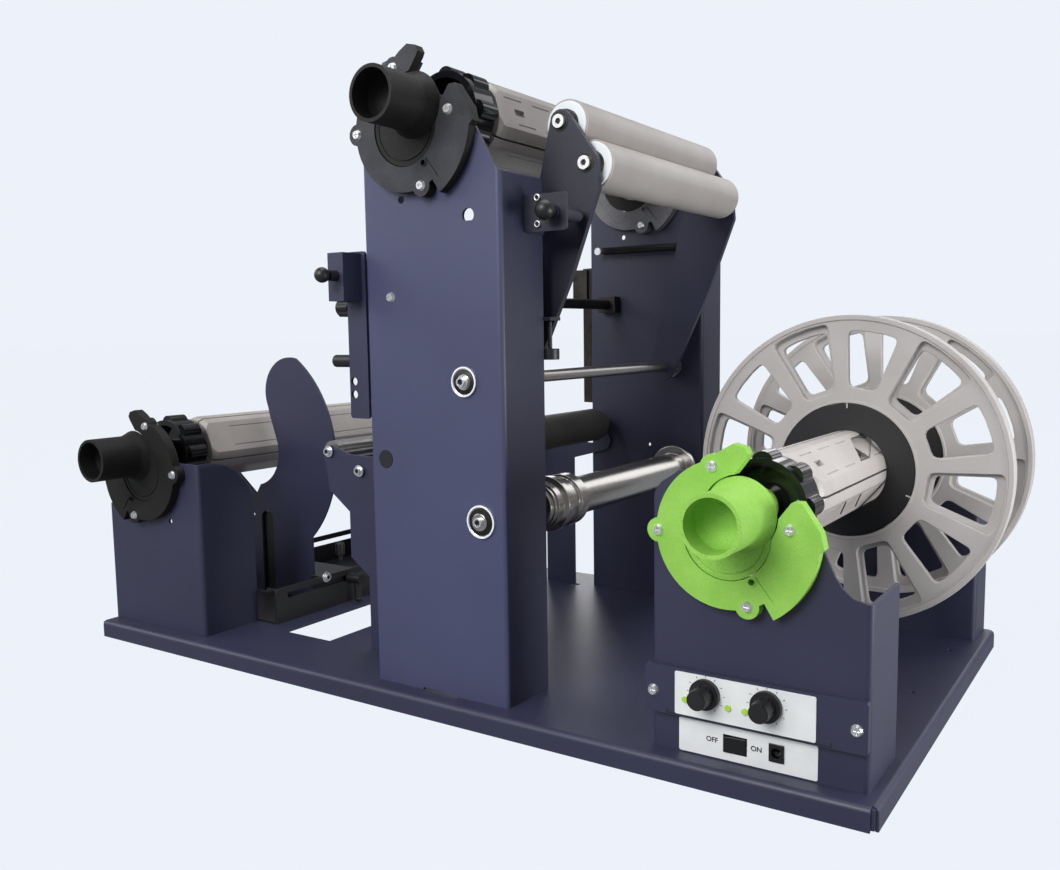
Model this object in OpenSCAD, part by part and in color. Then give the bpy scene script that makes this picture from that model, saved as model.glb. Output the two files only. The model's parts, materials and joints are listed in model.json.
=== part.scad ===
// Table-top label rewinder: tray base, two towers, four stands, three core holders,
// a swing arm with two press rollers, a waste shaft and a driven rewind spool.
// Places are measured from the front left corner of the tray: X along its long side,
// Y away from the operator, Z up. from_corner() moves them to the part's own frame.

/* [Tray] */
// Length of the tray
base_l = 900; // [860:1:1000]
// Width of the tray
base_w = 490; // [480:1:560]
// Height of the tray's folded rim
base_h = 19.5; // [17:0.5:26]
// Sheet thickness of the tray
base_t = 2.5; // [2:0.25:3]
// Outside radius of the tray's folds
base_bend_r = 5; // [3:0.5:6]

/* [Frames] */
// Sheet thickness of stands and towers
sheet_t = 3; // [2:0.25:4]
// Outside radius of the frame folds
bend_r = 5; // [4.5:0.5:8]
// Front faces of the near frames, behind the tray's front
face_y = 20; // [16:0.5:24]
// Front faces of the far frames, behind the tray's front
far_y = 434; // [431:0.5:436]
// Depth of the near stands
stand_d = 75; // [64:1:80]
// Depth of the towers and far stands
tower_d = 53; // [50:0.5:54]
// Depth of the near tower
near_tower_d = 64.5; // [60:0.5:66]
// Width of the towers
tower_w = 155; // [150:1:158]
// Left edge of the towers
tower_x = 421; // [415:1:425]
// Left edge of the unwind stand
left_x = 1; // [0:1:4]
// Width of the unwind stand
left_w = 164; // [160:1:168]
// Left edge of the rewind stand
right_x = 717; // [715:1:720]
// Width of the rewind stand
right_w = 172; // [170:1:176]

/* [Core holders] */
// Radius over the ridges of a core holder, for a 76 mm core
core_r = 38; // [36:0.5:39]
// Half width across the flat faces of a core holder
core_flat = 33; // [30:0.5:35]
// Near end of the cores
core_y0 = 90; // [88:1:94]
// Far end of the cores
core_y1 = 421; // [418:0.5:421]
// Radius of the spindle in a core holder
spindle_r = 9; // [7:0.5:10]
// Outside radius of the carrying handle
handle_r = 23.5; // [21:0.5:25]
// How far the carrying handle stands out of the near frame
handle_out = 64; // [50:1:80]
// Height of the unwind and rewind spindles
low_z = 215.5; // [213:0.5:218]
// Height of the upper spindle
high_z = 548; // [540:1:556]

/* [Journals] */
// Thickness of a journal plate
journal_t = 10; // [8:0.5:11]
// Radius of a journal plate
journal_r = 57; // [54:0.5:58]
// Radius of the disc that sits in a journal plate
disc_r = 34.5; // [33:0.5:35.5]
// Spindle's sideways offset from the middle of its journal disc
offset_x = 10.6; // [9.5:0.1:11.5]
// Spindle's upward offset from the middle of its journal disc
offset_z = 16.4; // [15:0.1:17]

/* [Rewind spool] */
// Radius of a spool flange
flange_r = 148; // [140:1:150]
// Thickness of a spool flange
flange_t = 14; // [10:0.5:16]
// Front face of the near flange
flange_y = 279; // [262:1:290]
// Front face of the far flange
far_flange_y = 402; // [398:0.5:404]
// Number of windows in a flange
windows = 12; // [10:2:14]
// Outside radius of the spool's black hub ring
hub_r = 64; // [60:0.5:66]

/* [Rollers] */
// Radius of the press rollers
press_r = 22; // [20:0.5:22.5]
// Radius of the steel guide roller
steel_r = 11; // [8:0.5:12]
// Radius of the rubber guide roller
rubber_r = 20; // [14:0.5:20]
// Radius of the waste shaft
waste_r = 19; // [16:0.5:21]
// Radius of the swing arm's rod
rod_r = 6; // [5:0.5:7]
// Thickness of the swing arms
arm_t = 6; // [5:0.5:6.5]

/* [Edge guide] */
// Radius of the guide disc's outer edge
guide_r = 142; // [136:1:144]
// Radius of the notch round the core
notch_r = 44; // [42:0.5:46]
// Plane of the edge guide
guide_y = 183; // [150:1:240]
// Thickness of the edge guide
guide_t = 3; // [2:0.5:4]

/* [Hidden] */
$fn = 48;
// One overrun serves all cuts
cut = 1;
// Gap between faces of different bodies
gap = 0.3;
// Radial clearance of a running fit
fit = 0.06;
// Tray
foot_r = 15;
foot_lift = 0.8;
foot_in = 40;
slit = 0.8;
window_x0 = 225;
window_x1 = 294;
window_y0 = 82;
window_y1 = 400;
slot_l = 16;
slot_w = 8;
// Spindle and journal places
left_cx = left_x + 68;
upper_cx = tower_x + 71.6;
right_cx = right_x + 76.6;
far_face = far_y - journal_t;
near_face = face_y - journal_t;
left_pc = [left_cx + offset_x, low_z + 3 - offset_z];
upper_pc = [upper_cx - offset_x, high_z - offset_z];
right_pc = [right_cx - offset_x, low_z - offset_z];
left_z = low_z + 3;
mouth_a = 52.7;
mouth_half = 22.5;
ear_r = 9.5;
ears = [[-11.5, 50.5], [-55.5, -1.5], [17, -52.5], [48.5, 8]];
screw_head_r = 4.75;
screw_head_h = 2.4;
screw_r = 2.4;
screw_hole_r = 2.5;
screw_l = 16;
recess_w = 0.9;
recess_l = 5;
handle_wall = 3.2;
handle_floor = 20;
handle_flare = 12;
disc_t = 9;
disc_gap = 0.5;
groove_w = 1.2;
groove_d = 0.8;
adjuster_r = 42;
adjuster_l = 28;
adjuster_y = 52;
lobe_r = 9;
lobe_front = 4;
jaw_slit = 1.8;
jaw_in = 26;
jaw_cone = 8;
dashes = 6;
dash_pitch = 48;
dash_row = 12;
left_turn = 25;
upper_turn = 104;
rewind_turn = 139.5;
collar_r = 15;
// Towers and arm
arm_y = 102;
far_arm_y = 411;
rod_x = tower_x + 113.5;
rod_share = 0.562956;
rod_z = high_z * rod_share;
top_x = rod_x + 50.5;
top_z = rod_z + 229;
front_x = rod_x + 76.5;
front_z = rod_z + 190.5;
roller_y0 = 115;
roller_y1 = 402;
cap_r = 20;
waste_x = tower_x + 129;
waste_z = 185.5;
bearing_rod_r = 13.5;
bearing_waste_r = 15;
collar_big_r = 29;
journal_small_r = 8;
// Guide rollers and brackets
steel_x = 302;
steel_z = 228;
rubber_x = tower_x + 19;
rubber_z = 235;
bracket_t = 3;
bracket_y = face_y + near_tower_d + gap;
far_bracket_y = far_y - bracket_t - gap;
pivot_r = 4;
// Edge guide and channel
channel_x0 = 15;
channel_x1 = 197;
channel_y0 = 95;
channel_y1 = 425;
channel_t = 2.5;
channel_h = 41;
channel_h2 = 41;
slot_z = 50;
guide_cx = left_cx;
guide_cz = 206.4;
guide_lobe_r = 44;
guide_lobe_x = 138;
guide_lobe_z = 281;
guide_leg_x0 = 98;
guide_leg_x1 = 166.5;
guide_slot_x0 = 77;
guide_slot_top = 130;
slide_l = 50;
lever_y = guide_y + 30;
// Control box
cover_z0 = 50;
cover_z1 = 88.5;
cover_t = 6;
label_t = 0.6;
cover_screw_z = 67.3;
knob_z = 72.5;
speed_x = right_x + 49;
clutch_x = right_x + 98;
knob_r = 12;
knob_l = 19;
rocker_x = right_x + 70.8;
rocker_z = 33.8;
rocker_w = 19.5;
rocker_h = 14.5;
inlet_x = right_x + 103.8;
inlet_z = 35;
inlet_w = 12;
inlet_h = 14;
panel_y = face_y - label_t;
// Carriage at the towers' left side
rail_x = tower_x - 16;
rail_z0 = 260;
rail_z1 = 432;
head_x0 = tower_x - 23.5;
head_z0 = 382;
head_z1 = 426;
bar_x = tower_x + 31;
bar_z = 384.5;
bar_r = 6;
// Extension spring between the far tower and the far arm
spring_x0 = tower_x + 25;
spring_x1 = rod_x + 19.5;
spring_z = high_z - 97.5;
spring_post_x = spring_x0 - 4.8;
spring_pin_x = spring_x1 + 1.5;
spring_y = far_arm_y + arm_t + 6.3;
spring_r = 4;
spring_wire = 0.62;
spring_turns = 50;
ring_steps = 8;
wire_sides = 6;
post_r = 2.4;

// Basic moves and outlines
module from_corner() { translate([-base_l / 2, -base_w / 2, 0]) children(); }
module along_y(x, z, y0, y1, r) { translate([x, y0, z]) rotate([-90, 0, 0]) cylinder(h = y1 - y0, r = r); }
module along_x(y, z, x0, x1, r) { translate([x0, y, z]) rotate([0, 90, 0]) cylinder(h = x1 - x0, r = r); }
module y_plate(y0, t) { translate([0, y0 + t, 0]) rotate([90, 0, 0]) linear_extrude(t) children(); }
module x_plate(x0, t) { translate([x0, 0, 0]) rotate([90, 0, 90]) linear_extrude(t) children(); }
module block(x0, x1, y0, y1, z0, z1) { translate([x0, y0, z0]) cube([x1 - x0, y1 - y0, z1 - z0]); }
function arc(c, r, a0, a1, n = 10) =
    [for (i = [0 : n]) [c[0] + r * cos(a0 + (a1 - a0) * i / n), c[1] + r * sin(a0 + (a1 - a0) * i / n)]];

module round_front(w, d, r) {
    translate([r, 0]) square([w - 2 * r, d]);
    translate([0, r]) square([w, d - r]);
    for (x = [r, w - r]) translate([x, r]) circle(r);
}

module round_box(w, h, r) {
    translate([r, 0]) square([w - 2 * r, h]);
    translate([0, r]) square([w, h - 2 * r]);
    for (x = [r, w - r]) for (y = [r, h - r]) translate([x, y]) circle(r);
}

// A folded channel, open at the back, cut to a front outline and a side outline
module channel(x, y, w, d, top) {
    intersection() {
        translate([x, y, base_h]) linear_extrude(top - base_h) difference() {
            round_front(w, d, bend_r);
            translate([sheet_t, sheet_t]) round_front(w - 2 * sheet_t, d, bend_r - sheet_t);
        }
        children(0);
        children(1);
    }
}

module side_outline(x, y, d, w, top, r) {
    x_plate(x - cut, w + 2 * cut)
        polygon(concat([[y - cut, base_h - cut], [y - cut, top]],
            arc([y + d - r, top - r], r, 90, 0), [[y + d + cut, top - r], [y + d + cut, base_h - cut]]));
}

// The room that a holder needs to drop into its plate: a round seat and a mouth
module seat_and_mouth(r, s = 1) {
    circle(r);
    rotate(s > 0 ? mouth_a : 180 - mouth_a) translate([0, -mouth_half]) square([journal_r * 2, mouth_half * 2]);
    translate([s * offset_x, offset_z]) circle(handle_r + 6);
}

groove_a = 52;
stop_x = 20.5;
stop_z = -33.5;
heel_share = 1.24;
tab_shares = [[-0.39, 0.86], [-0.07, 1.11], [0.09, 1.2], [0.25, 1.16], [0.3, 1.07], [0.09, 0.64], [-0.36, 0.71]];
nose_shares = [[0.61, 0.18], [0.89, 0.5], [1, 0.5], [1.25, 0.14], [1.3, -0.07], [0.89, -0.43]];
module journal_outline() {
    difference() {
        union() {
            circle(journal_r);
            for (e = ears) translate(e) circle(ear_r);
            polygon([for (p = tab_shares) p * journal_r]);
            polygon([for (p = nose_shares) p * journal_r]);
            polygon(concat([[0, 0]], arc([0, 0], journal_r * heel_share, -5, -58)));
        }
        seat_and_mouth(disc_r + disc_gap);
        for (e = ears) translate(e) circle(screw_hole_r);
    }
}

module journal_plate(pc, y, s = 1) {
    translate([pc[0], 0, pc[1]]) union() {
        difference() {
            y_plate(y, journal_t) scale([s, 1]) journal_outline();
            rotate([0, s > 0 ? groove_a : 180 - groove_a, 0])
                translate([disc_r + 3, y - cut, 0]) cube([journal_r - disc_r, cut + groove_d, groove_w]);
            along_y(s * stop_x, stop_z, y - cut, y + journal_t + cut, screw_hole_r);
        }
        difference() {
            along_y(s * stop_x, stop_z, y - groove_d, y + journal_t / 2, screw_hole_r + 1);
            along_y(s * stop_x, stop_z, y - cut, y + journal_t, screw_hole_r);
        }
    }
}

module screw(x, y, z, l = screw_l) {
    translate([x, y, z]) rotate([-90, 0, 0]) difference() {
        union() {
            translate([0, 0, -screw_head_h]) cylinder(h = screw_head_h, r1 = screw_head_r * 0.72, r2 = screw_head_r, $fn = 32);
            cylinder(h = l, r = screw_r, $fn = 24);
        }
        for (a = [0, 90]) rotate(a) translate([-recess_l / 2, -recess_w / 2, -screw_head_h - cut])
            cube([recess_l, recess_w, cut + screw_head_h / 2]);
    }
}

// Tray and feet
module base_tray() {
    color([0.13, 0.14, 0.22]) from_corner() difference() {
        union() {
            block(base_bend_r, base_l - base_bend_r, base_bend_r, base_w - base_bend_r, base_h - base_t, base_h);
            for (s = [0, 1]) {
                translate([0, s * base_w, 0]) mirror([0, s, 0]) x_plate(base_bend_r, base_l - 2 * base_bend_r) rim();
                translate([s * base_l, base_w, 0]) mirror([s, 0, 0]) rotate([0, 0, -90])
                    x_plate(base_bend_r, base_w - 2 * base_bend_r) rim();
            }
        }
        block(window_x0, window_x1, window_y0, window_y1, -cut, base_h + cut);
        block(380 + slot_w, 380 + slot_w + slot_l, 424, 424 + slot_w, -cut, base_h + cut);
        for (x = [32, base_l - 32]) for (y = [base_w / 2]) along_hole(x, y);
        along_hole(base_l - 28, base_w - 100);
        along_hole(right_x - 60, base_w - 60);
    }
}
module along_hole(x, y) { translate([x, y, base_h - base_t - cut]) cylinder(h = base_t + 2 * cut, r = screw_r); }
module rim() {
    difference() {
        union() {
            translate([0, foot_lift]) square([base_t, base_h - base_bend_r - foot_lift]);
            translate([base_bend_r, base_h - base_bend_r]) circle(base_bend_r);
        }
        translate([base_bend_r, base_h - base_bend_r]) circle(base_bend_r - base_t);
        translate([base_t, 0]) square([base_bend_r * 2, base_h - base_bend_r]);
        translate([base_bend_r, 0]) square([base_bend_r * 2, base_h + cut]);
    }
}
module rubber_feet() {
    color([0.06, 0.06, 0.07]) from_corner() {
        for (x = [foot_in, base_l - foot_in]) for (y = [foot_in, base_w - foot_in]) foot(x, y);
        foot(base_l / 2, base_w / 2);
    }
}
module foot(x, y) { translate([x, y, 0]) cylinder(h = base_h - base_t, r1 = foot_r, r2 = foot_r + 2); }

// Frames
module face_holes(pc, y, s = 1) {
    translate([pc[0], 0, pc[1]]) for (e = ears) along_y(s * e[0], e[1], y - cut, y + sheet_t + cut, screw_hole_r);
}
left_shares = [[0.03, -1.06], [0.085, -0.92], [0.122, -0.59], [0.3, 0.55], [0.48, 0.76], [0.68, 0.76], [0.79, 0.55]];
module left_stand_outline() {
    x1 = left_x + left_w;
    r = stand_round;
    difference() {
        polygon(concat([[left_x - cut, base_h - cut], [left_x - cut, left_z - 1.08 * journal_r]],
            [for (p = left_shares) [left_x + p[0] * left_w, left_z + p[1] * journal_r]],
            arc([x1 - r, left_z - stand_drop], r, 60, 0, 8), [[x1 + cut, left_z - stand_drop], [x1 + cut, base_h - cut]]));
        translate(left_pc) seat_and_mouth(disc_r + 4, -1);
    }
}
stand_round = 22;
stand_drop = 12.5;
stand_side_drop = 6.5;
module left_stand() {
    color([0.16, 0.17, 0.27]) from_corner() difference() {
        channel(left_x, face_y, left_w, stand_d, left_z + journal_r) {
            y_plate(face_y - cut, stand_d + 2 * cut) left_stand_outline();
            side_outline(left_x, face_y, stand_d, left_w, left_z - stand_side_drop, near_side_round);
        }
        face_holes(left_pc, face_y, -1);
        along_y(left_cx + 45, left_z - 73, face_y - cut, face_y + sheet_t + cut, small_hole_r);
    }
}
near_side_round = 60;
far_side_round = 30;
small_hole_r = 3;
right_shares = [[0.012, 0.17], [0.047, 0.32], [0.105, 0.43], [0.28, 0.82], [0.465, 0.82], [0.715, 0.11], [0.79, -0.39],
    [0.843, -0.73], [0.872, -0.85], [0.919, -0.97]];
module right_stand_outline() {
    x1 = right_x + right_w + cut;
    difference() {
        polygon(concat([[right_x - cut, base_h - cut], [right_x - cut, low_z]],
            [for (p = right_shares) [right_x + p[0] * right_w, low_z + p[1] * journal_r]],
            [[x1, low_z - 1.035 * journal_r], [x1, base_h - cut]]));
        translate(right_pc) seat_and_mouth(disc_r + 4);
    }
}
module stand_right(y, d) {
    difference() {
        channel(right_x, y, right_w, d, low_z + journal_r) {
            y_plate(y - cut, d + 2 * cut) right_stand_outline();
            side_outline(right_x, y, d, right_w, low_z + journal_r / 2, far_side_round);
        }
        face_holes(right_pc, y);
        along_y(right_cx - 28.5, low_z - 73, y - cut, y + sheet_t + cut, small_hole_r);
    }
}
module right_stand() {
    color([0.16, 0.17, 0.27]) from_corner() difference() {
        stand_right(face_y, stand_d);
        for (x = [speed_x, clutch_x]) along_y(x, knob_z, face_y - cut, face_y + sheet_t + cut, 4);
        for (x = [right_x + 4, right_x + right_w - 8])
            along_y(x, cover_screw_z, face_y - cut, face_y + sheet_t, screw_hole_r);
        block(rocker_x - rocker_w / 2, rocker_x + rocker_w / 2, face_y - cut, face_y + sheet_t + cut,
            rocker_z - rocker_h / 2, rocker_z + rocker_h / 2);
        block(inlet_x - inlet_w / 2, inlet_x + inlet_w / 2, face_y - cut, face_y + sheet_t + cut,
            inlet_z - inlet_h / 2, inlet_z + inlet_h / 2);
    }
}
module far_stands() {
    color([0.15, 0.16, 0.25]) from_corner() {
        stand_right(far_y, tower_d);
        difference() {
            channel(left_x, far_y, left_w, tower_d, left_z + journal_r) {
                y_plate(far_y - cut, tower_d + 2 * cut) left_stand_outline();
                side_outline(left_x, far_y, tower_d, left_w, left_z - stand_side_drop, far_side_round + 10);
            }
            face_holes(left_pc, far_y, -1);
        }
    }
}
tower_shares = [[0.04, 0.32], [0.19, 0.77], [0.38, 0.86], [0.73, 0.07], [0.85, -0.44], [0.96, -0.98], [0.993, -1.09]];
module tower_outline() {
    x1 = tower_x + tower_w + cut;
    difference() {
        polygon(concat([[tower_x - cut, base_h - cut], [tower_x - cut, high_z]],
            [for (p = tower_shares) [tower_x + p[0] * tower_w, high_z + p[1] * journal_r]],
            [[x1, high_z - 1.09 * journal_r], [x1, base_h - cut]]));
        translate(upper_pc) seat_and_mouth(disc_r + 4);
    }
}
module tower(y, d) {
    difference() {
        channel(tower_x, y, tower_w, d, high_z + journal_r) {
            y_plate(y - cut, d + 2 * cut) tower_outline();
            side_outline(tower_x, y, d, tower_w, high_z + journal_r, far_side_round);
        }
        face_holes(upper_pc, y);
        along_y(rod_x, rod_z, y - cut, y + sheet_t + cut, bearing_rod_r - 2);
        along_y(waste_x, waste_z, y - cut, y + sheet_t + cut, bearing_waste_r - 2);
        along_y(rubber_x, rubber_z, y - cut, y + sheet_t + cut, rubber_pin_r + fit);
    }
}
module near_tower() {
    color([0.27, 0.28, 0.40]) from_corner() difference() {
        tower(face_y, near_tower_d);
        along_y(467.5, 470.5, face_y - cut, face_y + sheet_t + cut, 3.5);
        difference() {
            along_y(542, 451.5, face_y - cut, face_y + sheet_t + cut, 6.2);
            block(530, 554, face_y - 2 * cut, face_y + sheet_t + 2 * cut, 440, 447);
        }
        along_y(bar_x, bar_z, face_y - cut, face_y + sheet_t + cut, screw_hole_r);
        block(tower_x + tower_w / 2 - 20, tower_x + tower_w / 2 + 20, face_y - cut, face_y + sheet_t + cut,
            base_h - cut, base_h + 2);
    }
}
module far_tower() {
    color([0.17, 0.18, 0.28]) from_corner() difference() {
        tower(far_y, tower_d);
        along_y(spring_post_x, spring_z, far_y - cut, far_y + sheet_t + cut, post_r);
        along_y(469, 467, far_y - cut, far_y + sheet_t + cut, 3);
        along_y(505, 210.5, far_y - cut, far_y + sheet_t + cut, 2);
    }
}

// Journals
module journal_plates() {
    color([0.09, 0.09, 0.10]) from_corner() {
        journal_plate(left_pc, near_face, -1);
        journal_plate(upper_pc, near_face);
        journal_plate(left_pc, far_face - 0, -1);
        journal_plate(upper_pc, far_face);
        journal_plate(right_pc, far_face);
    }
}
module rewind_journal_plate() { color([0.52, 0.80, 0.25]) from_corner() journal_plate(right_pc, near_face); }
module screws() {
    color([0.80, 0.81, 0.84]) from_corner() for (y = [near_face, far_face]) for (e = ears) {
        screw(left_pc[0] - e[0], y, left_pc[1] + e[1]);
        screw(upper_pc[0] + e[0], y, upper_pc[1] + e[1]);
        screw(right_pc[0] + e[0], y, right_pc[1] + e[1]);
    }
    color([0.80, 0.81, 0.84]) from_corner() {
        for (x = [right_x + 4, right_x + right_w - 8]) screw(x, face_y - cover_t, cover_screw_z, cover_t + 2);
        screw(bar_x, face_y, bar_z);
    }
}
module disc_and_bore(pc, cx, cz, y0, y1) {
    along_y(pc[0], pc[1], y0, y1, disc_r);
}
module handle(pc, cx, cz) {
    y0 = near_face + journal_t - disc_t;
    difference() {
        union() {
            along_y(pc[0], pc[1], y0, y0 + disc_t, disc_r);
            along_y(cx, cz, face_y - handle_out, y0 + disc_t, handle_r);
            translate([cx, y0, cz]) rotate([90, 0, 0]) cylinder(h = handle_flare, r1 = handle_r + 5, r2 = handle_r);
            along_y(cx, cz, y0, adjuster_y - gap, spindle_r + 6);
        }
        along_y(cx, cz, face_y - handle_out - cut, y0 - handle_floor, handle_r - handle_wall);
        along_y(cx, cz, face_y - handle_out, core_y0, spindle_r + fit);
        difference() {
            along_y(pc[0], pc[1], y0 - cut, y0 + groove_d, disc_r - 4);
            along_y(pc[0], pc[1], y0 - 2 * cut, y0 + 2 * groove_d, disc_r - 4 - groove_w);
            along_y(cx, cz, y0 - 3 * cut, y0 + 3 * groove_d, handle_r + 5);
        }
    }
}
module far_disc(pc, cx, cz) {
    difference() {
        along_y(pc[0], pc[1], far_face, far_face + disc_t, disc_r);
        along_y(cx, cz, far_face - cut, far_face + disc_t + cut, spindle_r + fit);
    }
}
module journal_discs() {
    color([0.07, 0.07, 0.08]) from_corner() {
        handle(left_pc, left_cx, left_z);
        handle(upper_pc, upper_cx, high_z);
        far_disc(left_pc, left_cx, left_z);
        far_disc(upper_pc, upper_cx, high_z);
        far_disc(right_pc, right_cx, low_z);
    }
}
module rewind_handle() { color([0.55, 0.82, 0.28]) from_corner() handle(right_pc, right_cx, low_z); }

// Core holders
module spindle(cx, cz, tail) {
    difference() {
        union() {
            along_y(cx, cz, face_y - handle_out + handle_out - handle_floor + gap, far_face + disc_t + tail, spindle_r);
            along_y(cx, cz, adjuster_y + adjuster_l + 2 * gap, core_y0 - gap, collar_r);
        }
        along_y(cx, cz, face_y - handle_out, face_y - handle_floor + 6, spindle_r / 2);
    }
}
module core(cx, cz, turn) {
    translate([cx, 0, cz]) rotate([0, -turn, 0]) difference() {
        intersection() {
            y_plate(core_y0, core_y1 - core_y0) difference() {
                intersection() {
                    circle(core_r, $fn = 96);
                    square([2 * core_flat, 2 * (core_flat + 1)], center = true);
                }
                circle(jaw_in);
                for (a = [45, 135]) rotate(a) square([3 * core_r, jaw_slit], center = true);
            }
            union() {
                along_y(0, 0, core_y0 + jaw_cone, core_y1 + cut, core_r + 1);
                translate([0, core_y0 + jaw_cone, 0]) rotate([90, 0, 0])
                    cylinder(h = jaw_cone + cut, r1 = core_r + 1, r2 = core_r - jaw_cone / 2);
            }
        }
        for (a = [0, 180]) rotate([0, a, 0]) for (row = [-1, 1]) for (i = [0 : dashes - 1])
            translate([row * dash_row - groove_w / 2, core_y0 + 22 + i * dash_pitch + row * 8, core_flat + 1 - groove_d])
                cube([groove_w, dash_pitch * 0.6, cut + groove_d]);
        for (a = [90, 270]) rotate([0, a, 0]) for (row = [-1, 1])
            translate([row * dash_row - groove_w / 2, core_y0 + 34, core_flat - groove_d])
                cube([groove_w, core_y1 - core_y0 - 60, cut + groove_d]);
        for (a = [0, 180]) rotate([0, a, 0]) translate([-3, core_y0 + jaw_cone + 20, core_flat - 3]) cube([6, 16, 5]);
    }
    along_core(cx, cz);
}
module along_core(cx, cz) {
    for (y = [core_y0 + 14, core_y1 - 26]) difference() {
        along_y(cx, cz, y, y + 12, jaw_in + cut);
        along_y(cx, cz, y - cut, y + 12 + cut, spindle_r);
    }
}
module adjuster(cx, cz) {
    y1 = adjuster_y + adjuster_l;
    difference() {
        union() {
            along_y(cx, cz, adjuster_y, y1, adjuster_r - 5);
            for (a = [0 : 45 : 315]) translate([cx, 0, cz]) rotate([0, a, 0])
                along_y(adjuster_r - lobe_r, 0, adjuster_y + lobe_front, y1 - 2, lobe_r);
        }
        along_y(cx, cz, adjuster_y - cut, y1 + cut, spindle_r + fit);
        difference() {
            along_y(cx, cz, adjuster_y - cut, adjuster_y + 12, adjuster_r - 11);
            along_y(cx, cz, adjuster_y - 2 * cut, adjuster_y + 13, spindle_r + 5);
        }
    }
}
module unwind_spindle() { color([0.7, 0.7, 0.72]) from_corner() spindle(left_cx, left_z, 8); }
module unwind_core() { color([0.66, 0.64, 0.62]) from_corner() core(left_cx, left_z, left_turn); }
module unwind_adjuster() { color([0.05, 0.05, 0.05]) from_corner() adjuster(left_cx, left_z); }
module upper_spindle() { color([0.7, 0.7, 0.72]) from_corner() spindle(upper_cx, high_z, 8); }
module upper_core() { color([0.66, 0.64, 0.62]) from_corner() core(upper_cx, high_z, upper_turn); }
module upper_adjuster() { color([0.05, 0.05, 0.05]) from_corner() adjuster(upper_cx, high_z); }
module rewind_spindle() { color([0.7, 0.7, 0.72]) from_corner() spindle(right_cx, low_z, 8); }
module rewind_core() { color([0.70, 0.69, 0.68]) from_corner() core(right_cx, low_z, rewind_turn); }
module rewind_adjuster() { color([0.05, 0.05, 0.05]) from_corner() adjuster(right_cx, low_z); }

// Spool flanges
window_turn = 20;
window_round = 6;
module sector(r0, r1, half0, deg1) {
    polygon(rounded(concat([[r0, -half0 * r0 / (hub_r + 15)], [r0, half0 * r0 / (hub_r + 15)]],
        [for (a = [deg1, deg1 / 3, -deg1 / 3, -deg1]) [r1 * cos(a), r1 * sin(a)]]), window_round));
}
// An outline with its corners rounded off
function rounded(p, r) = [for (i = [0 : len(p) - 1]) let (b = p[i], a = p[(i + len(p) - 1) % len(p)],
    c = p[(i + 1) % len(p)], u = (a - b) / norm(a - b), v = (c - b) / norm(c - b),
    k = min(r, norm(a - b) * 0.45, norm(c - b) * 0.45), turn = abs(cross([u[0], u[1]], [v[0], v[1]])))
    each (turn < 0.5 ? [b] : [for (t = [0, 0.33, 0.67, 1]) b + u * k * (1 - t) * (1 - t) + v * k * t * t])];
module flange(y) {
    pitch = 360 / windows;
    translate([right_cx, 0, low_z]) difference() {
        along_y(0, 0, y, y + flange_t, flange_r, $fn = 96);
        along_y(0, 0, y - cut, y + flange_t + cut, hub_r + gap, $fn = 96);
        y_plate(y - cut, flange_t + 2 * cut) for (i = [0 : windows - 1])
            rotate(i * pitch + window_turn) sector(hub_r + 15, flange_r - 15, 13, 10.2);
        y_plate(y - cut, cut + flange_t / 2) for (i = [1 : 2 : windows - 1])
            rotate(i * pitch + window_turn) sector(hub_r + 10, flange_r - 7, 16, 11.8);
        y_plate(y + flange_t / 2, cut + flange_t / 2) for (i = [0 : 2 : windows - 1])
            rotate(i * pitch + window_turn) sector(hub_r + 10, flange_r - 7, 16, 11.8);
    }
}
module hub(y) {
    translate([right_cx, 0, low_z]) difference() {
        along_y(0, 0, y, y + flange_t, hub_r, $fn = 96);
        along_y(0, 0, y - cut, y + flange_t + cut, core_r + gap, $fn = 96);
        for (a = [90, -20, 200]) rotate([0, -a, 0]) translate([hub_r - 5, y - cut, -1]) cube([cut + 5, cut + 2, 2]);
    }
}
module spool_flanges() { color([0.70, 0.69, 0.69]) from_corner() for (y = [flange_y, far_flange_y]) flange(y); }
module hub_rings() { color([0.12, 0.11, 0.11]) from_corner() for (y = [flange_y, far_flange_y]) hub(y); }

// Drive
module gearmotor() {
    y0 = far_y + sheet_t;
    color([0.35, 0.35, 0.37]) from_corner() difference() {
        union() {
            along_y(right_cx, low_z, y0 + 13, y0 + 46, 26);
            block(right_cx - 14, right_cx + 14, y0, y0 + 14, low_z - 52, low_z - 22);
            along_y(right_cx, low_z - 30, y0 + 12, y0 + 40, 12);
        }
        along_y(right_cx, low_z, y0 + 11, y0 + 28, 9 + fit);
    }
}
module drive_dog() {
    y0 = far_face + disc_t + 8 + gap;
    color([0.6, 0.6, 0.62]) from_corner() union() {
        along_y(right_cx, low_z, y0, y0 + 8, 16);
        along_y(right_cx, low_z, y0 + 8, far_y + sheet_t + 27, 9);
    }
}

// Waste shaft, swing arms and press rollers
module waste_shaft() {
    color([0.75, 0.74, 0.72]) from_corner() difference() {
        union() {
            along_y(waste_x, waste_z, face_y - 4, far_y + sheet_t + 6, journal_small_r);
            along_y(waste_x, waste_z, 104, 415, waste_r);
            along_y(waste_x, waste_z, 108, 125, waste_r + 3);
            along_y(waste_x, waste_z, 125, 133, waste_r + 8);
            along_y(waste_x, waste_z, 405, 412, waste_r + 9);
        }
        along_y(waste_x, waste_z, face_y - 5, face_y, 3);
    }
}
module bearing(x, z, y, r, bore) {
    difference() {
        union() {
            along_y(x, z, y - 1.6, y, r);
            along_y(x, z, y, y + sheet_t + 6, r - 2 - fit);
        }
        along_y(x, z, y - 2 * cut - 1, y + sheet_t + 7, bore + fit);
        difference() {
            along_y(x, z, y - 3, y - 0.6, r - 1.6);
            along_y(x, z, y - 4, y, bore + 2);
        }
    }
}
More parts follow.
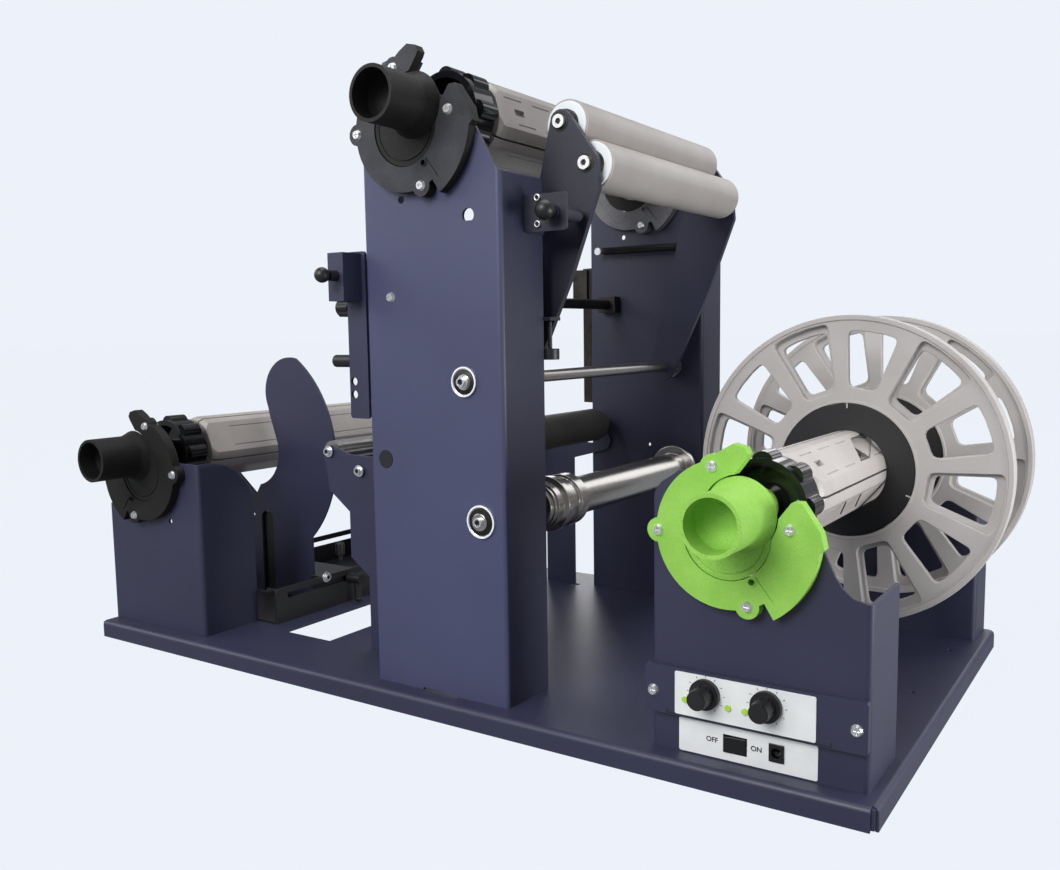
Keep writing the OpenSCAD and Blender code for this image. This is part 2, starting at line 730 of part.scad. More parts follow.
module shaft_bearings() {
    color([0.82, 0.82, 0.84]) from_corner() {
        bearing(rod_x, rod_z, face_y, bearing_rod_r, rod_r);
        bearing(waste_x, waste_z, face_y, bearing_waste_r, journal_small_r);
        bearing(rod_x, rod_z, far_y, bearing_rod_r, rod_r);
        bearing(waste_x, waste_z, far_y, bearing_waste_r, journal_small_r);
    }
}
module arm_rod() {
    color([0.72, 0.70, 0.66]) from_corner() difference() {
        along_y(rod_x, rod_z, face_y - 3, far_y + sheet_t + 6, rod_r);
        along_y(rod_x, rod_z, face_y - 4, face_y, 2);
    }
}
lobe_r0 = 11;
lobe_r1 = 12;
heel_r = 16;
module arm_outline() {
    polygon(concat(arc([top_x, top_z], lobe_r0, 150, 30, 6), arc([front_x, front_z], lobe_r1, 45, -15, 5),
        [[front_x + 13, front_z - 23], [rod_x + 59.5, rod_z + 89.5]], arc([rod_x, rod_z], heel_r, -20, -200, 8),
        [[top_x - 22, top_z - 45.5], [top_x - 13, top_z - 9.5]]));
}
module swing_arms() {
    color([0.10, 0.11, 0.17]) from_corner() for (y = [arm_y, far_arm_y]) difference() {
        y_plate(y, arm_t) arm_outline();
        along_y(rod_x, rod_z, y - cut, y + arm_t + cut, rod_r);
        along_y(top_x, top_z, y - cut, y + arm_t + cut, 3);
        along_y(front_x, front_z, y - cut, y + arm_t + cut, 3);
    }
    color([0.10, 0.11, 0.17]) from_corner() difference() {
        block(rod_x + 27.5, rod_x + 48.5, bracket_y, arm_y, tension_z + gap, tension_z + 3.5);
        translate([tension_x, tension_y, tension_z - 1]) cylinder(h = 8, r = 1);
    }
}
module arm_screws() {
    color([0.85, 0.85, 0.87]) from_corner() {
        for (p = [[top_x, top_z], [front_x, front_z]]) socket_axle(p[0], p[1]);
        along_y(spring_pin_x, spring_z, far_arm_y + arm_t, spring_y - spring_r - spring_wire - 0.3, post_r);
    }
}
module socket_axle(x, z) {
    difference() {
        union() {
            along_y(x, z, arm_y - 4, arm_y, 6);
            along_y(x, z, arm_y, far_arm_y + arm_t, 3);
            along_y(x, z, arm_y + arm_t, roller_y0 - 4 - gap, 6);
            along_y(x, z, roller_y1 + 4 + gap, far_arm_y, 6);
        }
        translate([x, arm_y - 5, z]) rotate([-90, 0, 0]) cylinder(h = 3.5, r = 3, $fn = 6);
    }
}
module press_roller(x, z) {
    difference() {
        along_y(x, z, roller_y0, roller_y1, press_r);
        along_y(x, z, roller_y0 - cut, roller_y1 + cut, cap_r);
    }
}
module press_caps(x, z) {
    for (s = [0, 1]) translate([0, s * (roller_y0 + roller_y1), 0]) mirror([0, s, 0]) difference() {
        union() {
            along_y(x, z, roller_y0 - 2, roller_y0 + 6, cap_r);
            along_y(x, z, roller_y0 - 4, roller_y0, 11);
        }
        along_y(x, z, roller_y0 - 5, roller_y0 + 7, 3 + fit);
        along_y(x, z, roller_y0 - 5, roller_y0 - 3, 7);
    }
}
module top_roller() { color([0.68, 0.66, 0.65]) from_corner() press_roller(top_x, top_z); }
module top_roller_caps() { color([0.93, 0.94, 0.95]) from_corner() press_caps(top_x, top_z); }
module front_roller() { color([0.68, 0.66, 0.65]) from_corner() press_roller(front_x, front_z); }
module front_roller_caps() { color([0.93, 0.94, 0.95]) from_corner() press_caps(front_x, front_z); }

// Index plunger that holds the swing arm
module index_plate() {
    x0 = tower_x + tower_w;
    color([0.13, 0.14, 0.21]) from_corner() difference() {
        union() {
            translate([x0, 0, plunger_z - 16]) y_plate(plunger_y, 2.5) round_box(43, 32, 3);
            block(x0, x0 + 2.5, plunger_y + 2.5, face_y + near_tower_d - 1, plunger_z - 16, plunger_z + 16);
            along_y(plunger_x, plunger_z, plunger_y - 3, arm_y - 8, 6.5);
        }
        along_y(plunger_x, plunger_z, face_y, arm_y, 3 + fit);
    }
}
plunger_x = rod_x + 71.5;
plunger_z = rod_z + 144.5;
plunger_y = 56;
module arm_plunger() {
    color([0.10, 0.10, 0.11]) from_corner() union() {
        along_y(plunger_x, plunger_z, plunger_y - 12, arm_y - 2 * gap, 3);
        along_y(plunger_x, plunger_z, plunger_y - 8, plunger_y - 3 - gap, 5);
        translate([plunger_x, plunger_y - 14, plunger_z]) sphere(8.5);
    }
}

// Extension spring: one unbroken wire, with the least gap between its curls printed
spring_len = spring_x1 - spring_x0;
spring_pitch = spring_len / spring_turns;
function wire_point(i) = let (a = 360 * i / ring_steps, f = i / ring_steps)
    [spring_x0 + spring_pitch * f, spring_y + spring_r * cos(a), spring_z + spring_r * sin(a)];
function wire_dir(i) = let (a = 360 * i / ring_steps, v = [spring_pitch / 360, -spring_r * sin(a) * PI / 180, spring_r * cos(a) * PI / 180])
    v / norm(v);
wire_rings = spring_turns * ring_steps;
module arm_spring() {
    n = wire_sides;
    pts = [for (i = [0 : wire_rings]) let (a = 360 * i / ring_steps, out = [0, cos(a), sin(a)],
        side = cross(wire_dir(i), out)) for (k = [0 : n - 1])
        wire_point(i) + spring_wire * (out * cos(360 * k / n) + side * sin(360 * k / n))];
    walls = [for (i = [0 : wire_rings - 1]) for (k = [0 : n - 1]) let (b = i * n, c = b + n, m = (k + 1) % n)
        each [[b + k, c + k, b + m], [b + m, c + k, c + m]]];
    ends = concat([for (k = [1 : n - 2]) [0, k, k + 1]],
        [for (k = [1 : n - 2]) [wire_rings * n, wire_rings * n + k + 1, wire_rings * n + k]]);
    color([0.16, 0.15, 0.13]) from_corner() polyhedron(points = pts, faces = concat(walls, ends), convexity = 10);
}
echo(least_spring_gap = spring_pitch * cos(atan2(spring_pitch, 2 * PI * spring_r)) - 2 * spring_wire);

// Guide rollers and their brackets
leg_x0 = 328;
leg_in = 25;
leg_x1 = 396;
end_r = 13;
module bracket_outline() {
    polygon(concat([[leg_x0 + leg_in, base_h], [leg_x0 + leg_in, tie_z - 112], [leg_x0, tie_z - 94],
        [leg_x0, tie_z - 45], [steel_x - 2, tie_z - 24]],
        arc([steel_x + 4, steel_z - 6], end_r, 215, 95, 5), [[leg_x0 + 2, steel_z - 2]],
        arc([rubber_x - 2, tie_z + 2], end_r, 60, -60, 6), [[leg_x1, tie_z - 22], [leg_x1, base_h]]));
}
module guide_brackets() {
    color([0.18, 0.19, 0.29]) from_corner() difference() {
        for (y = [bracket_y, far_bracket_y]) y_plate(y, bracket_t) bracket_outline();
        along_y(steel_x, steel_z, bracket_y - cut, far_y, pivot_r + fit);
        along_y(tie_x, tie_z, bracket_y - cut, far_y, 3);
        along_y(steel_x - 6, tie_z - 16, bracket_y - cut, far_y, screw_hole_r);
        block(leg_x1 + 20, rubber_x - 8, bracket_y - cut, far_y, tie_z - 1, tie_z + 4);
    }
}
module tie_and_post() {
    color([0.6, 0.6, 0.62]) from_corner() union() {
        along_y(tie_x, tie_z, bracket_y + bracket_t, far_bracket_y, 5);
        along_y(tie_x, tie_z, bracket_y, far_bracket_y + bracket_t, 3);
        along_y(tie_x, tie_z, bracket_y - 2.5, bracket_y, 4.5);
    }
    color([0.80, 0.81, 0.84]) from_corner() union() {
        along_y(spring_post_x, spring_z, far_arm_y + arm_t + 1, far_y + sheet_t, post_r);
        along_y(spring_post_x, spring_z, far_arm_y + arm_t + 1, far_arm_y + arm_t + 3, post_r + 2);
    }
}
tie_x = 346;
tie_z = 210;
module idler(x, z, r) {
    union() {
        along_y(x, z, bracket_y - 1.5, far_bracket_y + bracket_t - gap, pivot_r);
        along_y(x, z, bracket_y + bracket_t + gap, far_bracket_y - gap, r);
    }
}
module hanger() {
    union() {
        along_y(rubber_x, rubber_z, face_y + 0.5, far_y + sheet_t - gap, rubber_pin_r);
        along_y(rubber_x, rubber_z, 95, 410, rubber_r);
    }
}
rubber_pin_r = 8.5;
module steel_roller() { color([0.78, 0.77, 0.75]) from_corner() idler(steel_x, steel_z, steel_r); }
module rubber_roller() { color([0.10, 0.10, 0.09]) from_corner() hanger(); }

// Edge guide on its channel
module guide_channel() {
    color([0.05, 0.05, 0.06]) from_corner() difference() {
        union() {
            block(channel_x0, channel_x1, channel_y0, channel_y1, base_h, base_h + channel_t);
            x_plate(channel_x1 - channel_t, channel_t) translate([channel_y0, base_h])
                round_box(channel_y1 - channel_y0, channel_h, 5);
            x_plate(channel_x0, channel_t) translate([channel_y0, base_h])
                round_box(channel_y1 - channel_y0, channel_h2, 5);
        }
        block(channel_x1 - channel_t - cut, channel_x1 + cut, channel_y0 + 18, channel_y1 - 18, slot_z - 3.4, slot_z + 3.4);
        block(channel_x0 - cut, channel_x0 + channel_t + cut, channel_y0 + 18, channel_y1 - 18, slot_z - 3.4, slot_z + 3.4);
    }
}
module guide_outline() {
    top = guide_slot_top - guide_slot_r;
    difference() {
        union() {
            intersection() {
                union() {
                    translate([guide_lobe_x, guide_lobe_z]) circle(guide_lobe_r);
                    polygon([[guide_lobe_x - 23, guide_lobe_z + 29], [guide_lobe_x - guide_lobe_r, guide_lobe_z],
                        [guide_lobe_x - 38.5, guide_lobe_z - 26], [guide_cx + notch_r, guide_cz + 9],
                        [guide_cx, guide_cz - notch_r - 12], [guide_cx - 34, guide_cz - 29], [guide_cx - 42, guide_cz - 38],
                        [guide_cx - 42, 100], [guide_cx - 9, 92], [guide_leg_x1, 103], [guide_leg_x1 + 23, 103],
                        [guide_cx + guide_r + 4, guide_cz - 6], [guide_cx + guide_r + 4, guide_lobe_z + 9],
                        [guide_lobe_x + 38, guide_lobe_z + 31]]);
                }
                translate([guide_cx, guide_cz]) circle(guide_r, $fn = 96);
            }
            translate([guide_leg_x0, guide_z0]) square([guide_leg_x1 - guide_leg_x0, guide_slot_top - guide_z0]);
            translate([guide_cx - 42, guide_z0]) square([guide_slot_x0 - guide_cx + 42, guide_slot_top - guide_z0]);
        }
        translate([guide_cx, guide_cz]) circle(notch_r);
        translate([guide_slot_x0, guide_z0 - cut]) square([2 * guide_slot_r, top - guide_z0 + cut]);
        translate([guide_slot_x0 + guide_slot_r, top]) circle(guide_slot_r);
    }
}
guide_slot_r = 10.5;
guide_z0 = 24;
module edge_guide() {
    color([0.13, 0.14, 0.22]) from_corner() difference() {
        y_plate(guide_y, guide_t) guide_outline();
        along_y(62, 123, guide_y - cut, guide_y + guide_t + cut, screw_hole_r);
    }
}
module guide_slide() {
    x1 = channel_x1 - channel_t - gap;
    color([0.06, 0.06, 0.07]) from_corner() difference() {
        union() {
            block(guide_leg_x0 + 4, x1, guide_y + guide_t, guide_y + slide_l, base_h + channel_t + 2, slot_z + 7);
            block(guide_leg_x1 + gap, x1, guide_y - 5, guide_y + guide_t, slot_z - 10, slot_z + 7);
            along_x(lever_y, slot_z, channel_x1 + gap, channel_x1 + 4, 5.5);
        }
        along_x(lever_y, slot_z, x1 - 14, channel_x1 + 5, 3 + fit);
    }
}
module clamp_lever() {
    x1 = channel_x1 + 4 + gap;
    color([0.06, 0.06, 0.07]) from_corner() union() {
        along_x(lever_y, slot_z, channel_x1 - channel_t - 12, x1 + 1, 3);
        along_x(lever_y, slot_z, x1, x1 + 18, 6.5);
        translate([x1 + 11, lever_y, slot_z - lever_l]) cylinder(h = lever_l, r1 = 3.6, r2 = 5);
        translate([x1 + 11, lever_y, slot_z - lever_l]) sphere(4);
    }
}
lever_l = 25;

// Carriage plate, rail and cross bar at the towers' left side
module rail_plate() {
    x1 = tower_x - gap / 3;
    color([0.20, 0.21, 0.32]) from_corner() difference() {
        union() {
            translate([head_x0, 0, 272]) y_plate(face_y, sheet_t) round_box(tower_x - head_x0, 156, 3);
            block(tower_x - 2.5, tower_x, face_y + sheet_t, face_y + 40, 290, 420);
            block(head_x0, head_x0 + 19, face_y - 24, face_y - 21.5, head_z0, head_z1);
            block(head_x0, head_x0 + 2.5, face_y - 21.5, face_y, head_z0, head_z1);
            block(head_x0 + 16.5, head_x0 + 19, face_y - 21.5, face_y, head_z0, head_z1);
        }
        for (z = [307, 294.7]) along_y(403, z, face_y - cut, face_y + sheet_t + cut, 4);
        along_y(head_x0 + 9.5, 405, face_y - 30, face_y - 20, 3 + fit);
    }
}
module head_plunger() {
    y0 = face_y - 24;
    color([0.09, 0.09, 0.10]) from_corner() union() {
        along_y(head_x0 + 9.5, 405, y0 - 14, face_y - gap, 3);
        along_y(head_x0 + 9.5, 405, y0 - 10, y0 - gap, 5);
        translate([head_x0 + 9.5, y0 - 17, 405]) sphere(7);
    }
}
module star_knob() {
    color([0.07, 0.07, 0.08]) from_corner() difference() {
        union() {
            along_x(knob_y, knob_cz, head_x0 - 20, head_x0 - 3, 8);
            for (a = [0 : 60 : 300]) along_x(knob_y + 6 * cos(a), knob_cz + 6 * sin(a), head_x0 - 18, head_x0 - 4, 3.5);
            along_x(knob_y, knob_cz, head_x0 - 4, tower_x - 2.5 - gap, 2.5);
        }
        along_x(knob_y, knob_cz, head_x0 - 21, head_x0 - 19, 4);
    }
}
module clamp_tip() {
    color([0.07, 0.07, 0.08]) from_corner() union() {
        along_x(knob_y, tip_z, head_x0 - 29, head_x0 + 2, 6);
        along_x(knob_y, tip_z, head_x0 + 2, tower_x - 2.5 - gap, 2.5);
    }
}
knob_y = 32;
knob_cz = 377;
tip_z = 326;
module tension_knob() {
    color([0.08, 0.08, 0.09]) from_corner() union() {
        translate([tension_x, tension_y, tension_z - 35]) cylinder(h = 10, r = 8.5);
        translate([tension_x, tension_y, tension_z - 27]) cylinder(h = 27, r = 2);
    }
}
tension_x = rod_x + 41.5;
tension_y = 95;
tension_z = rod_z + 52.5;
module linear_rail() {
    color([0.32, 0.30, 0.28]) from_corner() union() {
        block(rail_x + 6, tower_x, far_y + 8, far_y + 22, rail_z0, rail_z1);
        block(rail_x - 1, rail_x + 6, far_y + 11, far_y + 19, rail_z0, rail_z1);
        block(rail_x - 12, rail_x + 9, far_y + 4, far_y + 8, 384, 430);
        block(rail_x - 12, rail_x - 1, far_y + 8, far_y + 26, 384, 430);
    }
    color([0.09, 0.09, 0.10]) from_corner() difference() {
        block(bar_x - 12, bar_x + 12, far_y - 14, far_y, bar_z - 10, bar_z + 10);
        along_y(bar_x, bar_z, far_y - 15, far_y - 8, bar_r);
    }
}
module cross_bar() { color([0.10, 0.09, 0.09]) from_corner() difference() {
    along_y(bar_x, bar_z, face_y + sheet_t, far_y - 8, bar_r);
    along_y(bar_x, bar_z, face_y, face_y + screw_l + cut, screw_hole_r);
} }

// Control panel
module control_cover() {
    color([0.15, 0.16, 0.26]) from_corner() difference() {
        translate([right_x - 3, 0, cover_z0]) y_plate(face_y - cover_t, cover_t) round_box(right_w + 3, cover_z1 - cover_z0, 2);
        block(right_x, right_x + right_w - 3, face_y - cover_t + 2, face_y + cut, cover_z0 + 2, cover_z1 - 2);
        for (x = [speed_x, clutch_x]) along_y(x, knob_z, face_y - 2 * cover_t, face_y + cut, 4);
        for (x = [right_x + 4, right_x + right_w - 8]) along_y(x, cover_screw_z, face_y - 2 * cover_t, face_y + cut, screw_hole_r);
    }
}
module control_labels() {
    color([0.90, 0.91, 0.90]) from_corner() difference() {
        union() {
            translate([right_x + 23, 0, cover_z0 + 2]) y_plate(face_y - cover_t - label_t, label_t)
                round_box(right_w - 60, cover_z1 - cover_z0 - 4, 1.5);
            translate([right_x + 24, 0, base_h + 1]) y_plate(face_y - label_t, label_t)
                round_box(right_w - 61, cover_z0 - base_h - 3.5, 1.5);
        }
        for (x = [speed_x, clutch_x]) along_y(x, knob_z, 0, face_y + cut, 4);
        block(rocker_x - rocker_w / 2, rocker_x + rocker_w / 2, 0, face_y + cut, rocker_z - rocker_h / 2, rocker_z + rocker_h / 2);
        block(inlet_x - inlet_w / 2, inlet_x + inlet_w / 2, 0, face_y + cut, inlet_z - inlet_h / 2, inlet_z + inlet_h / 2);
    }
}
module dc_inlet() {
    y0 = panel_y - 1.2;
    color([0.06, 0.06, 0.07]) from_corner() difference() {
        union() {
            block(inlet_x - inlet_w / 2 + fit, inlet_x + inlet_w / 2 - fit, y0, face_y + 14, inlet_z - inlet_h / 2 + fit, inlet_z + inlet_h / 2 - fit);
        }
        difference() {
            along_y(inlet_x, inlet_z, y0 - cut, y0 + 9, 4);
            along_y(inlet_x, inlet_z, y0 - 2 * cut, y0 + 10, 1.2);
        }
    }
}
module indicator_lights() {
    color([0.55, 0.75, 0.25]) from_corner() for (x = [speed_x - 17, speed_x + 18.5, clutch_x - 17]) translate([x, face_y - cover_t - label_t, 65])
        rotate([90, 0, 0]) cylinder(h = 1.6, r = 2.4, $fn = 24);
}
module control_board() {
    color([0.10, 0.35, 0.20]) from_corner() union() {
        block(right_x + 20, right_x + 140, face_y + 20, face_y + 21.6, 26, 92);
        for (x = [speed_x, clutch_x]) along_y(x, knob_z, face_y + sheet_t + gap, face_y + 20, 8);
        for (x = [right_x + 25, right_x + 135]) along_y(x, 90, face_y + sheet_t, face_y + 20, 2);
        block(speed_x + 4, speed_x + 34, face_y + 21.6, face_y + 33, 48, 66);
        block(clutch_x - 5, clutch_x + 19, face_y + 21.6, face_y + 37, 50, 74);
    }
}
module pot_knob(x) {
    y1 = face_y - cover_t - label_t - gap;
    difference() {
        union() {
            along_y(x, knob_z, y1 - 4, y1, knob_r);
            translate([x, y1 - 4, knob_z]) rotate([90, 0, 0]) cylinder(h = knob_l - 5, r1 = 8.6, r2 = 7.6);
            along_y(x, knob_z, y1 - knob_l, y1 - knob_l + cut, 7);
            along_y(x, knob_z, y1, face_y + sheet_t, 3.9);
        }
        for (a = [0 : 30 : 330]) translate([x, 0, knob_z]) rotate([0, a, 0]) along_y(9, 0, y1 - knob_l - cut, y1 - 5, 1.1, $fn = 16);
    }
}
module speed_knob() { color([0.06, 0.06, 0.07]) from_corner() pot_knob(speed_x); }
module clutch_knob() { color([0.06, 0.06, 0.07]) from_corner() pot_knob(clutch_x); }
module power_rocker() {
    w = rocker_w / 2 - 1;
    h = rocker_h / 2 - 1;
    color([0.07, 0.07, 0.08]) from_corner() translate([rocker_x, panel_y, rocker_z]) rotate([0, 0, 6])
        translate([0, 0, -h]) linear_extrude(2 * h) polygon([[-w, 1], [-w, -1.4], [0, -1], [w, -1.4], [w, 1], [w / 2, 6], [-w / 2, 6]]);
}

// Fasteners of the frames

base_tray();
rubber_feet();
left_stand();
right_stand();
far_stands();
near_tower();
far_tower();
journal_plates();
rewind_journal_plate();
journal_discs();
rewind_handle();
screws();
guide_channel();
guide_brackets();
rail_plate();
linear_rail();
cross_bar();
control_cover();
control_labels();
dc_inlet();
indicator_lights();
control_board();
gearmotor();
index_plate();
shaft_bearings();
unwind_spindle();
unwind_core();
unwind_adjuster();
upper_spindle();
upper_core();
upper_adjuster();
rewind_spindle();
rewind_core();
rewind_adjuster();
drive_dog();
waste_shaft();
arm_rod();
swing_arms();
arm_screws();
top_roller();
top_roller_caps();
front_roller();
front_roller_caps();
steel_roller();
rubber_roller();
speed_knob();
clutch_knob();
power_rocker();
edge_guide();
guide_slide();
clamp_lever();
arm_plunger();
arm_spring();
head_plunger();
tie_and_post();
star_knob();
clamp_tip();
tension_knob();
spool_flanges();
hub_rings();
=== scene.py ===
import json
import math
import bpy
from mathutils import Matrix, Vector

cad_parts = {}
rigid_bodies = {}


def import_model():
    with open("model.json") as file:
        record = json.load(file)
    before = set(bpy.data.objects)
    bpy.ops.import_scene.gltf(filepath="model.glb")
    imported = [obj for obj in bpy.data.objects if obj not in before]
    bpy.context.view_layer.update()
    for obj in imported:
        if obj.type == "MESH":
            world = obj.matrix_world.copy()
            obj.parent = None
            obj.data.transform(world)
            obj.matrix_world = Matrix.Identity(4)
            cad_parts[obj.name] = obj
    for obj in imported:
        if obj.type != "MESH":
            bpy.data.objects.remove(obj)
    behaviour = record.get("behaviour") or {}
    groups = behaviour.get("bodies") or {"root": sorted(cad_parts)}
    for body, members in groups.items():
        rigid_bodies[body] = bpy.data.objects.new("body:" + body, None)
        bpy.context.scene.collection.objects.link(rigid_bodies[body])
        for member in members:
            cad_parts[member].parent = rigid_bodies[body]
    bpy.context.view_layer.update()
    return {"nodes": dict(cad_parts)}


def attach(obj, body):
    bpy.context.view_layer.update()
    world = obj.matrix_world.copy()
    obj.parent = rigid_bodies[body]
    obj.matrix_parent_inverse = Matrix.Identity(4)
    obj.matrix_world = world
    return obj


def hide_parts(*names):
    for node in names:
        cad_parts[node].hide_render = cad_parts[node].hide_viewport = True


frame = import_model()

# Places in millimetres from the tray's front left corner: x to the right, y away from the operator, z up.
# An axis that runs away from the operator is given as (x, z).
TRAY_MIDDLE = (450.0, 245.0)  # (x, y)
LEFT_AXIS = (69.0, 218.5)
UPPER_AXIS = (492.6, 548.0)
REWIND_AXIS = (793.6, 215.5)
ARM_ROD_AXIS = (534.5, 308.5)
WASTE_AXIS = (550.0, 185.5)
TOP_ROLLER_AXIS = (585.0, 537.5)
FRONT_ROLLER_AXIS = (611.0, 499.0)
STEEL_ROLLER_AXIS = (302.0, 228.0)
RUBBER_ROLLER_AXIS = (440.0, 235.0)
TIE_ROD_AXIS = (346.0, 210.0)


def mm(value):
    return value / 1000


def place(x, y, z):
    """A point in the frame's metres, from a place on the tray in millimetres."""
    return Vector((mm(x - TRAY_MIDDLE[0]), mm(y - TRAY_MIDDLE[1]), mm(z)))


# Finishes
class Finish:
    """A procedural finish: patterns on the piece's own coordinates that feed one shader."""

    def __init__(self, name, color, roughness, metallic=0.0):
        self.material = bpy.data.materials.new(name)
        self.material.use_nodes = True
        self.nodes = self.material.node_tree.nodes
        self.links = self.material.node_tree.links
        self.shader = self.nodes["Principled BSDF"]
        self.coords = self.nodes.new("ShaderNodeTexCoord").outputs["Object"]
        self.set("Base Color", (*color, 1))
        self.set("Roughness", roughness)
        self.set("Metallic", metallic)

    def set(self, socket, value):
        self.shader.inputs[socket].default_value = value

    def feed(self, output, socket):
        self.links.new(output, self.shader.inputs[socket])

    def noise(self, scale, detail=3.0, rough=0.55, vector=None):
        pattern = self.nodes.new("ShaderNodeTexNoise")
        pattern.inputs["Scale"].default_value = scale
        pattern.inputs["Detail"].default_value = detail
        pattern.inputs["Roughness"].default_value = rough
        self.links.new(self.coords if vector is None else vector, pattern.inputs["Vector"])
        return pattern.outputs["Fac"]

    def stretched(self, scale):
        mapping = self.nodes.new("ShaderNodeMapping")
        mapping.inputs["Scale"].default_value = scale
        self.links.new(self.coords, mapping.inputs["Vector"])
        return mapping.outputs["Vector"]

    def ramp(self, source, dark, light, low, high):
        ramp = self.nodes.new("ShaderNodeValToRGB")
        first, last = ramp.color_ramp.elements
        first.position, first.color = low, (*dark, 1)
        last.position, last.color = high, (*light, 1)
        self.links.new(source, ramp.inputs["Fac"])
        return ramp.outputs["Color"]

    def mottle(self, source, dark, light, low=0.3, high=0.7):
        self.feed(self.ramp(source, dark, light, low, high), "Base Color")

    def uneven_gloss(self, source, low, high):
        span = self.nodes.new("ShaderNodeMapRange")
        span.inputs["To Min"].default_value = low
        span.inputs["To Max"].default_value = high
        self.links.new(source, span.inputs["Value"])
        self.feed(span.outputs["Result"], "Roughness")

    def bumped(self, source, strength, distance):
        bump = self.nodes.new("ShaderNodeBump")
        bump.inputs["Strength"].default_value = strength
        bump.inputs["Distance"].default_value = distance
        self.links.new(source, bump.inputs["Height"])
        self.feed(bump.outputs["Normal"], "Normal")


def powder_coat(name, dark, light, gloss=(0.42, 0.55)):
    coat = Finish(name, light, gloss[0])
    coat.mottle(coat.noise(scale=5.0, detail=4.0), dark, light)
    grain = coat.noise(scale=1000.0, detail=2.0)
    coat.uneven_gloss(grain, *gloss)
    coat.bumped(grain, strength=0.34, distance=0.0002)
    coat.set("Coat Weight", 0.12)
    coat.set("Coat Roughness", 0.3)
    return coat.material


def moulded(name, dark, light, gloss=(0.38, 0.55), grain=900.0, strength=0.15):
    plastic = Finish(name, light, gloss[0])
    plastic.mottle(plastic.noise(scale=14.0), dark, light)
    fine = plastic.noise(scale=grain, detail=2.0)
    plastic.uneven_gloss(fine, *gloss)
    plastic.bumped(fine, strength, distance=0.00015)
    return plastic.material


def layered_print(name, dark, light, fleck, roughness):
    """Plastic laid down in layers: fine lines and speckles in the bump, and small flecks in the colour."""
    plastic = Finish(name, light, roughness)
    layers = plastic.nodes.new("ShaderNodeTexWave")
    layers.wave_type = "BANDS"
    layers.bands_direction = "Y"
    layers.inputs["Scale"].default_value = 950.0
    layers.inputs["Distortion"].default_value = 0.4
    plastic.links.new(plastic.coords, layers.inputs["Vector"])
    speckle = plastic.noise(scale=700.0)
    relief = plastic.nodes.new("ShaderNodeMath")
    relief.operation = "ADD"
    plastic.links.new(layers.outputs["Fac"], relief.inputs[0])
    plastic.links.new(speckle, relief.inputs[1])
    clouds = plastic.ramp(plastic.noise(scale=30.0, detail=4.0), dark, light, 0.3, 0.7)
    dots = plastic.ramp(plastic.noise(scale=1600.0, detail=1.0), (0, 0, 0), (1, 1, 1), 0.58, 0.66)
    flecked = plastic.nodes.new("ShaderNodeMix")
    flecked.data_type = "RGBA"
    flecked.inputs["B"].default_value = (*fleck, 1)
    plastic.links.new(dots, flecked.inputs["Factor"])
    plastic.links.new(clouds, flecked.inputs["A"])
    plastic.feed(flecked.outputs["Result"], "Base Color")
    plastic.uneven_gloss(speckle, roughness, roughness + 0.2)
    plastic.bumped(relief.outputs["Value"], strength=0.35, distance=0.0002)
    plastic.set("Specular IOR Level", 0.24)
    plastic.set("Subsurface Weight", 0.06)
    plastic.set("Subsurface Radius", (0.002, 0.003, 0.001))
    return plastic.material


def turned_steel(name, dark, light, gloss=(0.16, 0.3), lines=(60.0, 900.0, 60.0), strength=0.08):
    steel = Finish(name, light, gloss[0], metallic=1.0)
    streaks = steel.noise(scale=1.0, detail=4.0, rough=0.7, vector=steel.stretched(lines))
    steel.mottle(streaks, dark, light, low=0.25, high=0.75)
    steel.uneven_gloss(streaks, *gloss)
    steel.bumped(streaks, strength, distance=0.00005)
    return steel.material


def pale_panel(name):
    sheet = Finish(name, (0.80, 0.81, 0.80), roughness=0.35)
    sheet.mottle(sheet.noise(scale=40.0), (0.74, 0.75, 0.75), (0.84, 0.85, 0.84))
    fine = sheet.noise(scale=2500.0, detail=2.0)
    sheet.uneven_gloss(fine, 0.28, 0.42)
    sheet.bumped(fine, strength=0.08, distance=0.0001)
    return sheet.material


def lit_lamp(name, color, strength):
    lens = Finish(name, color, roughness=0.2)
    lens.mottle(lens.noise(scale=500.0, detail=2.0), tuple(part * 0.7 for part in color), color)
    lens.set("Emission Color", (*color, 1))
    lens.set("Emission Strength", strength)
    lens.set("Coat Weight", 0.8)
    return lens.material


def circuit_board(name):
    board = Finish(name, (0.03, 0.16, 0.07), roughness=0.4)
    tracks = board.nodes.new("ShaderNodeTexBrick")
    tracks.inputs["Scale"].default_value = 140.0
    tracks.inputs["Color1"].default_value = (0.02, 0.14, 0.06, 1)
    tracks.inputs["Color2"].default_value = (0.03, 0.20, 0.09, 1)
    tracks.inputs["Mortar"].default_value = (0.10, 0.32, 0.12, 1)
    board.links.new(board.coords, tracks.inputs["Vector"])
    board.feed(tracks.outputs["Color"], "Base Color")
    board.bumped(tracks.outputs["Fac"], strength=0.2, distance=0.0002)
    return board.material


